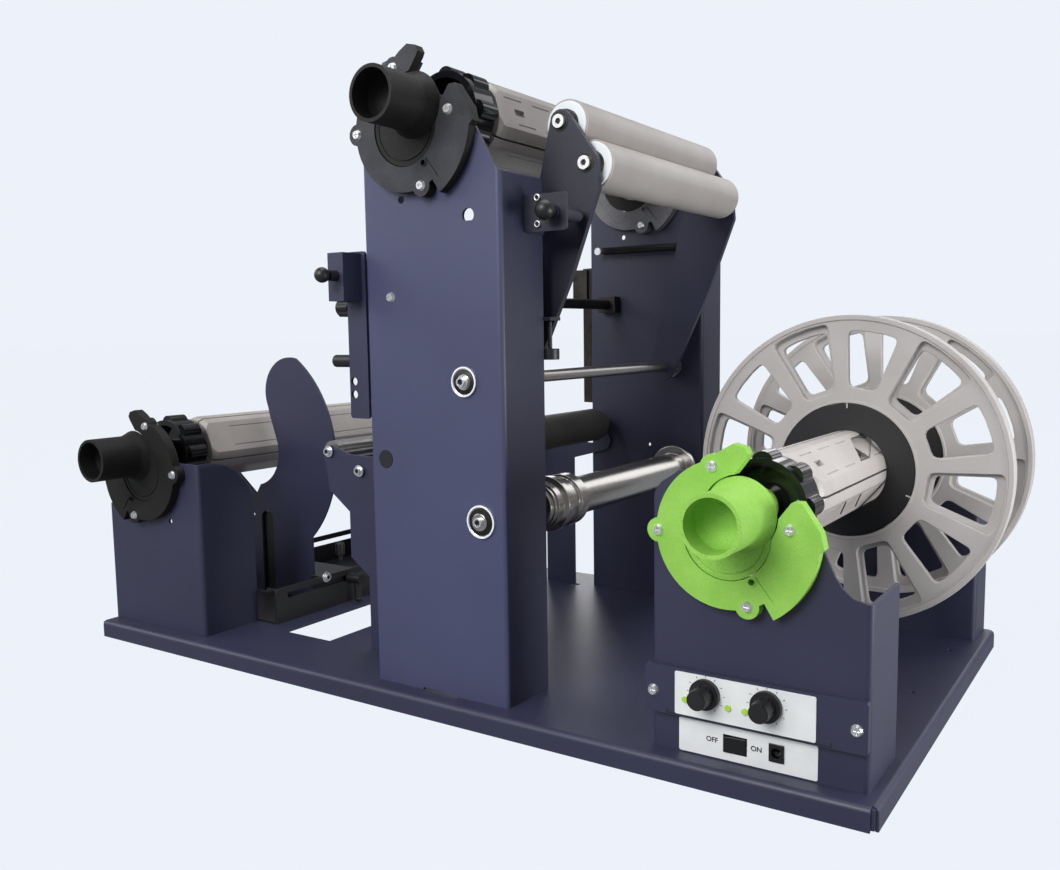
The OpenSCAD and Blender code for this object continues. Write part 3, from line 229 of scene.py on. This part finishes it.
NAVY = powder_coat("navy_powder_coat", (0.020, 0.021, 0.050), (0.027, 0.028, 0.064))
# A lighter copy of the navy coat: painted light, for the near tower's front.
NAVY_PAINTED_LIGHT = powder_coat("navy_powder_coat_painted_light", (0.043, 0.046, 0.104), (0.055, 0.060, 0.130))
# A darker copy of the navy coat: painted shade, for the near swing arm and the index plate.
NAVY_PAINTED_SHADE = powder_coat("navy_powder_coat_painted_shade", (0.011, 0.011, 0.024), (0.016, 0.016, 0.034))
BLACK_PAINT = powder_coat("black_powder_coat", (0.008, 0.008, 0.010), (0.013, 0.013, 0.016))
BLACK = moulded("black_moulding", (0.006, 0.006, 0.007), (0.012, 0.012, 0.013), (0.34, 0.5))
GLOSS = moulded("gloss_black_moulding", (0.004, 0.004, 0.005), (0.010, 0.010, 0.011), (0.05, 0.14),
                grain=300.0, strength=0.04)
BLACK_PRINT = layered_print("black_print", (0.006, 0.0055, 0.005), (0.012, 0.011, 0.010),
                            fleck=(0.024, 0.022, 0.021), roughness=0.46)
# A lighter grey copy of the black print: a painted sheen, for the near upper journal plate's front.
BLACK_PRINT_PAINTED_SHEEN = layered_print("black_print_painted_sheen", (0.018, 0.018, 0.021), (0.050, 0.051, 0.060),
                            fleck=(0.075, 0.076, 0.086), roughness=0.42)
WORN_PRINT = layered_print("grey_print", (0.10, 0.10, 0.11), (0.17, 0.17, 0.18),
                           fleck=(0.26, 0.26, 0.27), roughness=0.4)
GREEN = layered_print("green_print", (0.25, 0.53, 0.075), (0.34, 0.64, 0.115),
                      fleck=(0.17, 0.43, 0.04), roughness=0.5)
GREY = moulded("grey_moulding", (0.33, 0.30, 0.28), (0.41, 0.375, 0.35), (0.36, 0.5),
               grain=1100.0, strength=0.12)
# A lighter copy of the grey moulding: painted light, for the rewind core, which stands in the light from
# the top right.
GREY_PAINTED_LIGHT = moulded("grey_moulding_painted_light", (0.45, 0.415, 0.395), (0.53, 0.495, 0.475), (0.36, 0.5),
                    grain=1100.0, strength=0.12)
SPOOL = moulded("spool_grey_moulding", (0.41, 0.385, 0.37), (0.48, 0.455, 0.44), (0.38, 0.55),
                grain=1300.0, strength=0.14)
SLEEVE = moulded("roller_sleeve", (0.37, 0.335, 0.315), (0.44, 0.405, 0.38), (0.36, 0.52),
                 grain=1500.0, strength=0.2)
CAP = moulded("pale_cap", (0.80, 0.84, 0.86), (0.92, 0.94, 0.95), (0.15, 0.3),
             grain=600.0, strength=0.05)
RUBBER = moulded("ground_rubber", (0.040, 0.037, 0.034), (0.062, 0.058, 0.053), (0.55, 0.75),
                 grain=1800.0, strength=0.25)
INK = moulded("dark_ink", (0.01, 0.01, 0.012), (0.02, 0.02, 0.024), (0.3, 0.45),
             grain=800.0, strength=0.03)
STEEL = turned_steel("ground_steel", (0.42, 0.40, 0.38), (0.48, 0.46, 0.435), (0.26, 0.32),
                     lines=(9.0, 240.0, 9.0), strength=0.004)
CHROME = turned_steel("polished_steel", (0.50, 0.48, 0.455), (0.57, 0.55, 0.52), (0.22, 0.27),
                      lines=(9.0, 260.0, 9.0), strength=0.004)
BRIGHT = turned_steel("plated_steel", (0.80, 0.80, 0.81), (0.95, 0.95, 0.96), (0.3, 0.42),
                      lines=(400.0, 400.0, 400.0))
DARK_STEEL = turned_steel("blackened_steel", (0.03, 0.028, 0.026), (0.07, 0.066, 0.06), (0.3, 0.5))
CASING = turned_steel("cast_casing", (0.12, 0.12, 0.13), (0.2, 0.2, 0.21), (0.35, 0.55),
                      lines=(300.0, 300.0, 300.0), strength=0.2)
PANEL = pale_panel("pale_panel")
LAMP = lit_lamp("green_lamp", (0.32, 0.55, 0.04), strength=0.35)
BOARD = circuit_board("circuit_board")


# Workshop helpers
MERGE_DISTANCE = 0.000005  # metres
FLAT_WITHIN = 0.6          # degrees
SMOOTH_UNDER = 40          # degrees


def nothing_selected():
    for other in bpy.context.view_layer.objects:
        other.select_set(False)


def only(obj):
    nothing_selected()
    obj.select_set(True)
    bpy.context.view_layer.objects.active = obj


def rest(name):
    """Gives the piece just modelled its name and puts its place into its mesh."""
    obj = bpy.context.view_layer.objects.active
    only(obj)
    bpy.ops.object.transform_apply(location=True, rotation=True, scale=True)
    obj.name = name
    obj.data.name = name
    return obj


def edges_softened(obj, width, segments=2, angle=35):
    """Rounds the edges that turn by more than the angle, and keeps flat faces evenly shaded."""
    only(obj)
    bevel = obj.modifiers.new("soft_edges", "BEVEL")
    bevel.width = mm(width)
    bevel.segments = segments
    bevel.limit_method = "ANGLE"
    bevel.angle_limit = math.radians(angle)
    bevel.use_clamp_overlap = True
    bevel.miter_outer = "MITER_ARC"
    bpy.ops.object.modifier_apply(modifier=bevel.name)
    bpy.ops.object.shade_smooth_by_angle(angle=math.radians(SMOOTH_UNDER))
    even = obj.modifiers.new("even_faces", "WEIGHTED_NORMAL")
    even.mode = "FACE_AREA"
    even.weight = 100
    even.keep_sharp = True
    bpy.ops.object.modifier_apply(modifier=even.name)


def finished(obj, body, material, replaced=()):
    """Gives a piece its finish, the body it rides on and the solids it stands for."""
    obj.data.materials.clear()
    obj.data.materials.append(material)
    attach(obj, body)
    if replaced:
        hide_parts(*replaced)
    return obj


def dressed(node, body, width, material, slot, segments=2, angle=35):
    """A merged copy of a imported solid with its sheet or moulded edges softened."""
    source = frame["nodes"][node]
    obj = source.copy()
    obj.data = source.data.copy()
    bpy.context.scene.collection.objects.link(obj)
    obj.parent = None
    obj.matrix_world = Matrix.Identity(4)
    obj.hide_render = False
    obj.name = node + "_dressed"
    only(obj)
    bpy.ops.object.mode_set(mode="EDIT")
    bpy.ops.mesh.select_all(action="SELECT")
    bpy.ops.mesh.remove_doubles(threshold=MERGE_DISTANCE)
    bpy.ops.mesh.dissolve_limited(angle_limit=math.radians(FLAT_WITHIN))
    bpy.ops.object.mode_set(mode="OBJECT")
    edges_softened(obj, width, segments, angle)
    return finished(obj, body, material, (node,))


def repainted(node, material, chosen):
    """Gives the chosen faces of a dressed solid another finish."""
    obj = bpy.data.objects[node + "_dressed"]
    obj.data.materials.append(material)
    last = len(obj.data.materials) - 1
    for face in obj.data.polygons:
        if chosen(face):
            face.material_index = last


def paint(node, material):
    """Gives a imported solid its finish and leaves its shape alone."""
    obj = frame["nodes"][node]
    obj.data.materials.clear()
    obj.data.materials.append(material)
    only(obj)


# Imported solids
# Folded sheet and fixed mouldings: node, width of the softened edges, finish, slot
for node, width, material, slot in (
        ("base_tray", 0.5, NAVY, "navy_paint"),
        ("left_stand", 0.5, NAVY, "navy_paint"),
        ("right_stand", 0.5, NAVY, "navy_paint"),
        ("far_stands", 0.5, NAVY, "navy_paint"),
        ("near_tower", 0.5, NAVY, "navy_paint"),
        ("far_tower", 0.5, NAVY, "navy_paint"),
        ("rail_plate", 0.4, NAVY, "navy_paint"),
        ("guide_brackets", 0.4, NAVY, "navy_paint"),
        ("guide_channel", 0.4, BLACK_PAINT, "black_paint"),
        ("control_cover", 0.4, NAVY, "navy_paint"),
        # The index plate is in painted shade: the darker navy copy.
        ("index_plate", 0.3, NAVY_PAINTED_SHADE, "navy_paint"),
        ("journal_plates", 0.8, BLACK_PRINT, "black_plastic"),
        ("rewind_journal_plate", 0.8, GREEN, "green_plastic"),
        ("journal_discs", 0.7, BLACK_PRINT, "black_plastic"),
        ("rewind_handle", 0.7, GREEN, "green_plastic"),
        ("linear_rail", 0.4, DARK_STEEL, "dark_steel"),
        ("control_labels", 0.1, PANEL, "label"),
        ("dc_inlet", 0.3, GLOSS, "gloss_black")):
    dressed(node, "frame", width, material, slot)

# Moving pieces: node, body, width of the softened edges, finish, slot, and the bevel's segments and angle
# where they aren't the usual ones
for node, body, width, material, slot, *bevel in (
        ("swing_arms", "swing_arm", 0.4, NAVY, "navy_paint"),
        ("edge_guide", "edge_guide_slide", 0.5, NAVY, "navy_paint"),
        ("guide_slide", "edge_guide_slide", 0.6, BLACK, "black_plastic"),
        ("spool_flanges", "rewind_holder", 0.9, SPOOL, "grey_plastic", 2, 40),
        ("hub_rings", "rewind_holder", 1.0, BLACK, "black_plastic"),
        ("unwind_core", "unwind_holder", 0.5, GREY, "grey_plastic"),
        ("upper_core", "upper_holder", 0.5, GREY, "grey_plastic"),
        # The rewind core has painted light: the lighter grey copy.
        ("rewind_core", "rewind_holder", 0.5, GREY_PAINTED_LIGHT, "grey_plastic"),
        ("unwind_adjuster", "unwind_ring", 2.0, GLOSS, "gloss_black", 3),
        ("upper_adjuster", "upper_ring", 2.0, GLOSS, "gloss_black", 3),
        ("rewind_adjuster", "rewind_ring", 2.0, GLOSS, "gloss_black", 3),
        ("speed_knob", "speed_dial", 0.5, BLACK, "black_plastic"),
        ("clutch_knob", "clutch_dial", 0.5, BLACK, "black_plastic"),
        ("power_rocker", "power_switch", 0.5, GLOSS, "gloss_black"),
        ("star_knob", "head_star_knob", 0.8, BLACK, "black_plastic"),
        ("waste_shaft", "waste_winder", 0.8, CHROME, "steel"),
        ("top_roller_caps", "top_press_roller", 0.6, CAP, "white_cap"),
        ("front_roller_caps", "front_press_roller", 0.6, CAP, "white_cap"),
        ("clamp_lever", "guide_clamp", 0.6, BLACK, "black_plastic"),
        ("tension_knob", "tension_screw", 0.6, BLACK, "black_plastic"),
        ("clamp_tip", "head_clamp", 0.8, BLACK, "black_plastic")):
    dressed(node, body, width, material, slot, *bevel)

# The upper journal plates are above a height of 400. The far one is worn grey, and the near one has a
# painted sheen on its front, a lighter grey copy of the black print.
# The near tower's front catches the light, painted as a lighter copy of the navy coat, and the near swing
# arm stands in painted shade, a darker copy.
upper_plates_foot = mm(400)
repainted("journal_plates", WORN_PRINT,
          lambda face: face.center.z > upper_plates_foot and face.center.y > 0)
repainted("journal_plates", BLACK_PRINT_PAINTED_SHEEN,
          lambda face: face.center.z > upper_plates_foot and face.center.y <= 0 and face.normal.y < -0.9)
repainted("near_tower", NAVY_PAINTED_LIGHT, lambda face: face.normal.y < -0.5)
repainted("swing_arms", NAVY_PAINTED_SHADE, lambda face: face.center.y < 0)

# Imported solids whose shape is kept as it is
for node, material in (
        ("rubber_feet", RUBBER),
        ("screws", BRIGHT),
        ("cross_bar", DARK_STEEL),
        ("indicator_lights", LAMP),
        ("control_board", BOARD),
        ("gearmotor", CASING),
        ("shaft_bearings", BRIGHT),
        ("tie_and_post", BRIGHT),
        ("unwind_spindle", DARK_STEEL),
        ("upper_spindle", DARK_STEEL),
        ("rewind_spindle", DARK_STEEL),
        ("drive_dog", STEEL),
        ("arm_rod", STEEL),
        ("arm_screws", BRIGHT),
        ("top_roller", SLEEVE),
        ("front_roller", SLEEVE),
        ("steel_roller", CHROME),
        ("rubber_roller", RUBBER),
        ("arm_plunger", BLACK),
        ("arm_spring", DARK_STEEL),
        ("head_plunger", BLACK)):
    paint(node, material)


# Panel marks
DIAL_CENTRES = (766.0, 815.0)
DIAL_HEIGHT = 72.5
DIAL_REACH_ACROSS = 15.0
DIAL_REACH_UP = 13.6
DIAL_MARK_PLANE = 13.32
SWITCH_WORD_PLANE = 19.34
SWITCH_WORD_HEIGHT = 34.5


def dial_mark(centre, degrees):
    """One short mark beside a dial, in line with the dial's middle."""
    turn = math.radians(degrees)
    across = centre + DIAL_REACH_ACROSS * math.cos(turn)
    height = DIAL_HEIGHT + DIAL_REACH_UP * math.sin(turn)
    length, relief, stroke = 1.6, 0.1, 0.5
    bpy.ops.mesh.primitive_cube_add(size=1, location=place(across, DIAL_MARK_PLANE, height))
    obj = bpy.context.view_layer.objects.active
    obj.scale = (mm(length), mm(relief), mm(stroke))
    obj.rotation_euler = (0, -turn, 0)
    mark = rest("dial_mark")
    edges_softened(mark, 0.03, 1)
    return mark


def dial_marks():
    marks = [dial_mark(centre, degrees) for centre in DIAL_CENTRES for degrees in range(-60, 241, 30)]
    only(marks[0])
    for mark in marks:
        mark.select_set(True)
    bpy.ops.object.join()
    finished(rest("dial_marks"), "frame", INK)


def switch_word(text, x, name):
    """A plain word beside the power switch, raised by a hair so that it is a shape of its own."""
    bpy.ops.object.text_add(location=place(x, SWITCH_WORD_PLANE, SWITCH_WORD_HEIGHT),
                            rotation=(math.radians(90), 0, 0))
    obj = bpy.context.view_layer.objects.active
    obj.data.body = text
    obj.data.size = mm(5.6)
    obj.data.extrude = mm(0.05)
    obj.data.offset = mm(0.14)
    obj.data.align_x = "CENTER"
    obj.data.align_y = "CENTER"
    only(obj)
    bpy.ops.object.convert(target="MESH")
    finished(rest(name), "frame", INK)


dial_marks()
switch_word("OFF", 769.0, "switch_off_word")
switch_word("ON", 805.0, "switch_on_word")


# Turned and bar pieces
def swept(name, profile, sides, middle):
    """A circle extruded and resized in edit mode, from each (radius, place along the line) to the next."""
    nothing_selected()
    radius, step = profile[0]
    bpy.ops.mesh.primitive_circle_add(vertices=sides, radius=mm(radius), fill_type=middle,
                                      rotation=(math.radians(90), 0, 0), location=(0, mm(step), 0))
    obj = rest(name)
    bpy.ops.object.mode_set(mode="EDIT")
    if middle == "NOTHING":
        bpy.ops.mesh.select_mode(type="EDGE")
    bpy.ops.mesh.select_all(action="SELECT")
    for radius_next, step_next in profile[1:]:
        bpy.ops.mesh.extrude_region_move(TRANSFORM_OT_translate={"value": (0, mm(step_next - step), 0)})
        share = radius_next / radius
        bpy.ops.transform.resize(value=(share, 1, share), center_override=(0, mm(step_next), 0))
        radius, step = radius_next, step_next
    bpy.ops.mesh.select_all(action="SELECT")
    if middle == "NOTHING":
        bpy.ops.mesh.remove_doubles(threshold=MERGE_DISTANCE)
    bpy.ops.mesh.normals_make_consistent(inside=False)
    bpy.ops.object.mode_set(mode="OBJECT")
    return obj


def seated(obj, axis, body, material, width, along):
    """Carries a turned piece to its line: (x, z) along y, (y, z) along x, or (x, y) along z."""
    first, second = axis
    if along == "z":
        obj.data.transform(Matrix.Rotation(math.radians(90), 4, "X"))
        spot = place(first, second, 0)
    elif along == "x":
        obj.data.transform(Matrix.Rotation(math.radians(-90), 4, "Z"))
        spot = place(0, first, second)
    else:
        spot = place(first, 0, second)
    obj.data.transform(Matrix.Translation(spot))
    edges_softened(obj, width, 2, 30)
    return finished(obj, body, material)


def turned(name, profile, axis, body, material, sides=48, width=0.25, along="y"):
    """A solid turned round a line; width is that of its softened edges."""
    return seated(swept(name, profile, sides, "NGON"), axis, body, material, width, along)


def ring(name, profile, axis, body, material, sides=64, width=0.2, along="y"):
    """A turned piece with an open middle: the profile is closed back to its first pair."""
    closed = profile + profile[:1]
    return seated(swept(name, closed, sides, "NOTHING"), axis, body, material, width, along)


# A socket bolt's sizes, as shares of its head's radius, and its washer
HEAD_HEIGHT_SHARE = 0.8
HEAD_HOLE_SHARE = 0.62
SOCKET_RADIUS_SHARE = 0.64
SOCKET_FLOOR_SHARE = 0.35
WASHER_THICKNESS = 1.0


def bright_bolt(name, axis, face, radius, body, washer=0.0, along="y"):
    """A socket bolt head on a face, standing out towards the operator, or to the right for along="x".
    washer is its washer's radius, if it has one."""
    out = -1 if along == "y" else 1
    if washer:
        disc = [(washer, face + out * WASHER_THICKNESS), (washer, face + out * 0.02)]
        turned(name + "_washer", disc, axis, body, BRIGHT, 32, 0.2, along)
        face += out * WASHER_THICKNESS
    top = face + out * radius * HEAD_HEIGHT_SHARE
    hole = radius * HEAD_HOLE_SHARE
    head = [(radius, face), (radius, top), (hole, top), (hole, face + out * 0.1)]
    ring(name + "_head", head, axis, body, BRIGHT, 32, 0.25, along)
    hexagon = radius * SOCKET_RADIUS_SHARE
    socket = [(hexagon, face + out * radius * SOCKET_FLOOR_SHARE), (hexagon, face + out * 0.2)]
    turned(name + "_socket", socket, axis, body, DARK_STEEL, 6, 0.1, along)


def strip(name, x, y, z, body, material, width=0.2):
    """A small bevelled bar; x, y and z are each a pair of limits."""
    nothing_selected()
    low, high = (place(*corner) for corner in zip(x, y, z))
    bpy.ops.mesh.primitive_cube_add(size=1, location=(low + high) / 2)
    obj = bpy.context.view_layer.objects.active
    obj.scale = high - low
    rest(name)
    edges_softened(obj, width, 2)
    return finished(obj, body, material)


def strip_round_rewind_axis(name, radii, y, degrees, half_across, material):
    """A strip between two radii from the rewind axis, turned upwards from the axis's right hand side."""
    x = [TRAY_MIDDLE[0] + radius for radius in radii]
    obj = strip(name, x, y, (-half_across, half_across), "rewind_holder", material, 0.1)
    obj.data.transform(Matrix.Rotation(math.radians(-degrees), 4, "Y"))
    obj.data.transform(Matrix.Translation(place(REWIND_AXIS[0], TRAY_MIDDLE[1], REWIND_AXIS[1])))


def handle_bowls():
    """Closed bowls inside the carrying handles."""
    bowl = [(4, -12.6), (10, -13.2), (15, -15.4), (18.4, -19.6), (20.2, -25), (20.2, -11.6), (4, -11.6)]
    for name, axis, material, slot in (
            ("left_handle_bowl", LEFT_AXIS, BLACK_PRINT, "black_plastic"),
            ("upper_handle_bowl", UPPER_AXIS, BLACK_PRINT, "black_plastic"),
            ("rewind_handle_bowl", REWIND_AXIS, GREEN, "green_plastic")):
        turned(name, bowl, axis, "frame", material, 64, 0.3)


def tower_shaft_ends():
    """Shaft ends in the near tower: a dark seal with a bright bolt, in a pale ring."""
    seal_front, seal_edge, seal_back = 17.6, 18.5, 19.2
    pale_front, pale_back = 17.7, 18.35
    for name, axis, seal, body in (
            ("rod_end", ARM_ROD_AXIS, 11.0, "swing_arm"),
            ("waste_end", WASTE_AXIS, 12.4, "waste_winder")):
        dark_seal = [(seal, seal_back), (seal, seal_edge), (7.0, seal_front), (7.0, seal_back)]
        ring(name + "_seal", dark_seal, axis, body, DARK_STEEL)
        bright_bolt(name, axis, 17.4, 4.3, body, washer=5.8)
        pale_ring = [(seal + 2.6, pale_back), (seal + 2.2, pale_front),
                     (seal + 0.9, pale_front), (seal + 0.6, pale_back)]
        ring(name + "_pale_ring", pale_ring, axis, "frame", CAP)


def waste_shaft_collar():
    """Stepped collar at the near end of the waste shaft."""
    near, step, far, bore = 112.0, 150.0, 164.0, 16.0
    slim, wide, slope = 23.4, 26.0, 0.5
    collar = [(slim, near), (slim, step - slope), (wide, step),
              (wide, far - slope), (bore, far), (bore, near)]
    ring("waste_near_collar", collar, WASTE_AXIS, "waste_winder", CHROME, 64, 0.6)


def press_roller_axles():
    """Dark washers, sockets and grooved bearings on the axles of the two press rollers."""
    washer_front, washer_back = 101.3, 101.95
    washer = [(8.4, washer_back), (8.4, washer_front), (6.1, washer_front), (6.1, washer_back)]
    for name, axis, body in (
            ("top_axle", TOP_ROLLER_AXIS, "top_press_roller"),
            ("front_axle", FRONT_ROLLER_AXIS, "front_press_roller")):
        ring(name + "_dark_washer", washer, axis, "swing_arm", DARK_STEEL)
        turned(name + "_socket", [(3.1, 99.6), (3.1, 101.0)], axis, "swing_arm", DARK_STEEL,
               6, 0.1)
        for end, first in (("near", 108.5), ("far", 405.9)):
            bearing = [(6.3, first), (11.8, first), (12.6, first + 1.0), (12.6, first + 2.2),
                       (11.4, first + 2.5), (12.6, first + 3.0), (12.6, first + 4.6), (6.3, first + 4.6)]
            ring(name + "_" + end + "_bearing", bearing, axis, body, DARK_STEEL)


def flange_rims():
    """Raised rims and hub seats on both faces of the two spool flanges."""
    thickness, sunk = 14.0, 0.1
    for flange, front in (("near_flange", 279.0), ("far_flange", 402.0)):
        for side, face, out in (("front", front, -1), ("back", front + thickness, 1)):
            for part, foot_out, top_out, top_in, foot_in, height, sides in (
                    ("rim", 148.0, 147.6, 143.4, 142.8, 1.5, 128),
                    ("hub_seat", 67.6, 67.2, 64.7, 64.3, 1.1, 96)):
                foot = face - out * sunk
                top = face + out * height
                raised = [(foot_out, foot), (top_out, top), (top_in, top), (foot_in, foot)]
                ring(flange + "_" + side + "_" + part, raised, REWIND_AXIS, "rewind_holder", SPOOL,
                     sides, 0.3)


def bracket_bolts():
    """Bolts of the index plate, the guide channel and the left brackets."""
    for number, height in enumerate((465.8, 443.4)):
        bright_bolt("index_plate_screw_%d" % number, (590.3, height), 56.0, 2.9, "frame")
    bright_bolt("channel_screw", (175.0, 58.6), 197.0, 4.2, "frame", washer=6.4, along="x")
    bright_bolt("steel_pivot_screw", STEEL_ROLLER_AXIS, 83.2, 4.0, "steel_guide_roller", washer=6.0)
    bright_bolt("tie_screw", TIE_ROD_AXIS, 82.2, 4.0, "frame", washer=6.0)


def tower_plug():
    """Dark plug in the near tower, at the rubber roller's end."""
    turned("tower_plug", [(8.2, 20.3), (8.2, 19.7)], RUBBER_ROLLER_AXIS, "frame", INK, 48,
           0.15)


def upper_far_collar():
    """Pale collar at the upper holder's far end."""
    near, far, outside, bore = 421.3, 423.4, 38.6, 30.0
    collar = [(outside, near), (outside, far), (bore, far), (bore, near)]
    ring("upper_far_collar", collar, UPPER_AXIS, "upper_holder", CAP, 64, 0.4)


def edge_guide_fittings():
    """Lock knob that stands on the edge guide's slide, and the block behind the guide's slot."""
    knob = [(3.2, 70.0), (3.2, 76.0), (5.2, 77.0), (5.8, 80.0), (5.8, 90.0), (5.2, 92.5), (3.4, 93.5)]
    turned("guide_lock_knob", knob, (184.0, 213.0), "edge_guide_slide", BLACK, 24, 0.4,
           along="z")
    strip("guide_backing_block", (73.0, 102.0), (186.4, 199.0), (27.0, 128.0), "edge_guide_slide", BLACK,
          1.0)


def sleeve_cross_slots():
    """Short dark cross slots in the rewind sleeve's lower facet."""
    half_length, half_width = 6.0, 1.4
    for number, depth in enumerate((152.0, 196.0)):
        strip_round_rewind_axis("sleeve_cross_slot_%d" % number, (37.6, 38.2),
                                (depth - half_width, depth + half_width), -22.0, half_length, INK)


def tray_corners():
    """Posts that close the tray's folded corners from inside."""
    side = 4.2
    for number, (x, y) in enumerate(((2.2, 2.2), (893.6, 2.2), (2.2, 483.6), (893.6, 483.6))):
        strip("tray_corner_%d" % number, (x, x + side), (y, y + side), (2.0, 18.0), "frame", NAVY,
              0.5)


def hub_notches():
    """Pale notches in the near hub ring."""
    front, back = 278.75, 279.3
    for number, degrees in enumerate((90.0, -20.0, 200.0)):
        strip_round_rewind_axis("hub_notch_%d" % number, (59.6, 64.2), (front, back), degrees, 0.7, SPOOL)


def cover_slit():
    """Dark slit in the control cover, with a notch at each end."""
    face, floor = 13.86, 14.3
    strip("cover_slit", (733.0, 863.0), (face, floor), (50.7, 52.0), "frame", INK, 0.1)
    for name, x in (("slit_end_left", 732.4), ("slit_end_right", 862.0)):
        strip(name, (x, x + 1.6), (face - 0.02, floor), (50.9, 54.4), "frame", INK, 0.1)


handle_bowls()
tower_shaft_ends()
waste_shaft_collar()
press_roller_axles()
flange_rims()
bracket_bolts()
tower_plug()
upper_far_collar()
edge_guide_fittings()
sleeve_cross_slots()
tray_corners()
hub_notches()
cover_slit()


# Floor, light and camera
PALE_AIR = (0.847, 0.888, 0.956, 1)


def pale_floor():
    """A floor that looks as bright as the air behind it, and that lights the object only faintly."""
    nothing_selected()
    side, middle = 120, (0, 20, 0)
    bpy.ops.mesh.primitive_plane_add(size=side, location=middle)
    floor = rest("studio_floor")
    matt = Finish("pale_floor", (0.006, 0.006, 0.006), roughness=0.9)
    matt.mottle(matt.noise(scale=0.7, detail=2.0), (0.004, 0.004, 0.004), (0.006, 0.006, 0.006))
    matt.set("Specular IOR Level", 0.0)
    matt.set("Emission Color", PALE_AIR)
    looked_at = matt.nodes.new("ShaderNodeLightPath")
    glow = matt.nodes.new("ShaderNodeMapRange")
    glow.inputs["To Min"].default_value = 0.36
    glow.inputs["To Max"].default_value = 0.99
    matt.links.new(looked_at.outputs["Is Camera Ray"], glow.inputs["Value"])
    matt.feed(glow.outputs["Result"], "Emission Strength")
    floor.data.materials.append(matt.material)


def pale_air():
    """Faint blue light from all round, and a pale background where the camera looks."""
    world = bpy.data.worlds.new("studio_air")
    bpy.context.scene.world = world
    world.use_nodes = True
    nodes = world.node_tree.nodes
    links = world.node_tree.links
    air = nodes["Background"]
    air.inputs["Color"].default_value = (0.88, 0.92, 1.0, 1)
    air.inputs["Strength"].default_value = 0.34
    seen = nodes.new("ShaderNodeBackground")
    seen.inputs["Color"].default_value = PALE_AIR
    path = nodes.new("ShaderNodeLightPath")
    pick = nodes.new("ShaderNodeMixShader")
    links.new(path.outputs["Is Camera Ray"], pick.inputs["Fac"])
    links.new(air.outputs["Background"], pick.inputs[1])
    links.new(seen.outputs["Background"], pick.inputs[2])
    links.new(pick.outputs["Shader"], nodes["World Output"].inputs["Surface"])


def softboxes():
    """Square area lights: place and aim in metres, size in metres, power in watts."""
    for name, spot, aim, size, power in (
            ("key_softbox", (-0.1, -2.4, 1.6), (0.1, 0, 0.25), 1.3, 56),
            ("left_softbox", (-2.0, -1.2, 1.4), (-0.1, 0, 0.25), 1.3, 16),
            ("top_softbox", (0.1, 0.2, 2.4), (0, 0, 0), 1.8, 26),
            ("back_softbox", (0.6, 2.2, 1.4), (0, 0, 0.3), 1.4, 9),
            ("right_card", (1.05, 0.0, 0.22), (0.42, -0.15, 0.12), 0.35, 5),
            ("low_back_card", (-0.9, 2.5, 0.5), (0, 0, 0.05), 1.6, 22)):
        bpy.ops.object.light_add(type="AREA", location=spot)
        lamp = bpy.context.view_layer.objects.active
        lamp.name = name
        lamp.data.size = size
        lamp.data.energy = power
        lamp.rotation_euler = (Vector(aim) - Vector(spot)).to_track_quat("-Z", "Y").to_euler()


def photo_camera():
    """The photograph's view, from the front right and from above, looking down by about 6 degrees."""
    spot = (0.61605, -0.91697, 0.34960)
    tilt, roll, heading = 83.7795, 0.7921, 33.2039
    bpy.ops.object.camera_add(location=spot,
                              rotation=(math.radians(tilt), math.radians(roll), math.radians(heading)))
    camera = bpy.context.view_layer.objects.active
    camera.name = "photo_camera"
    camera.data.sensor_fit = "HORIZONTAL"
    camera.data.sensor_width = 36
    camera.data.lens = 33.70
    camera.data.shift_x = -0.00852
    camera.data.shift_y = 0.00654
    camera.data.clip_start = 0.01
    bpy.context.scene.camera = camera


pale_floor()
pale_air()
softboxes()
photo_camera()
bpy.context.scene.view_settings.view_transform = "Standard"
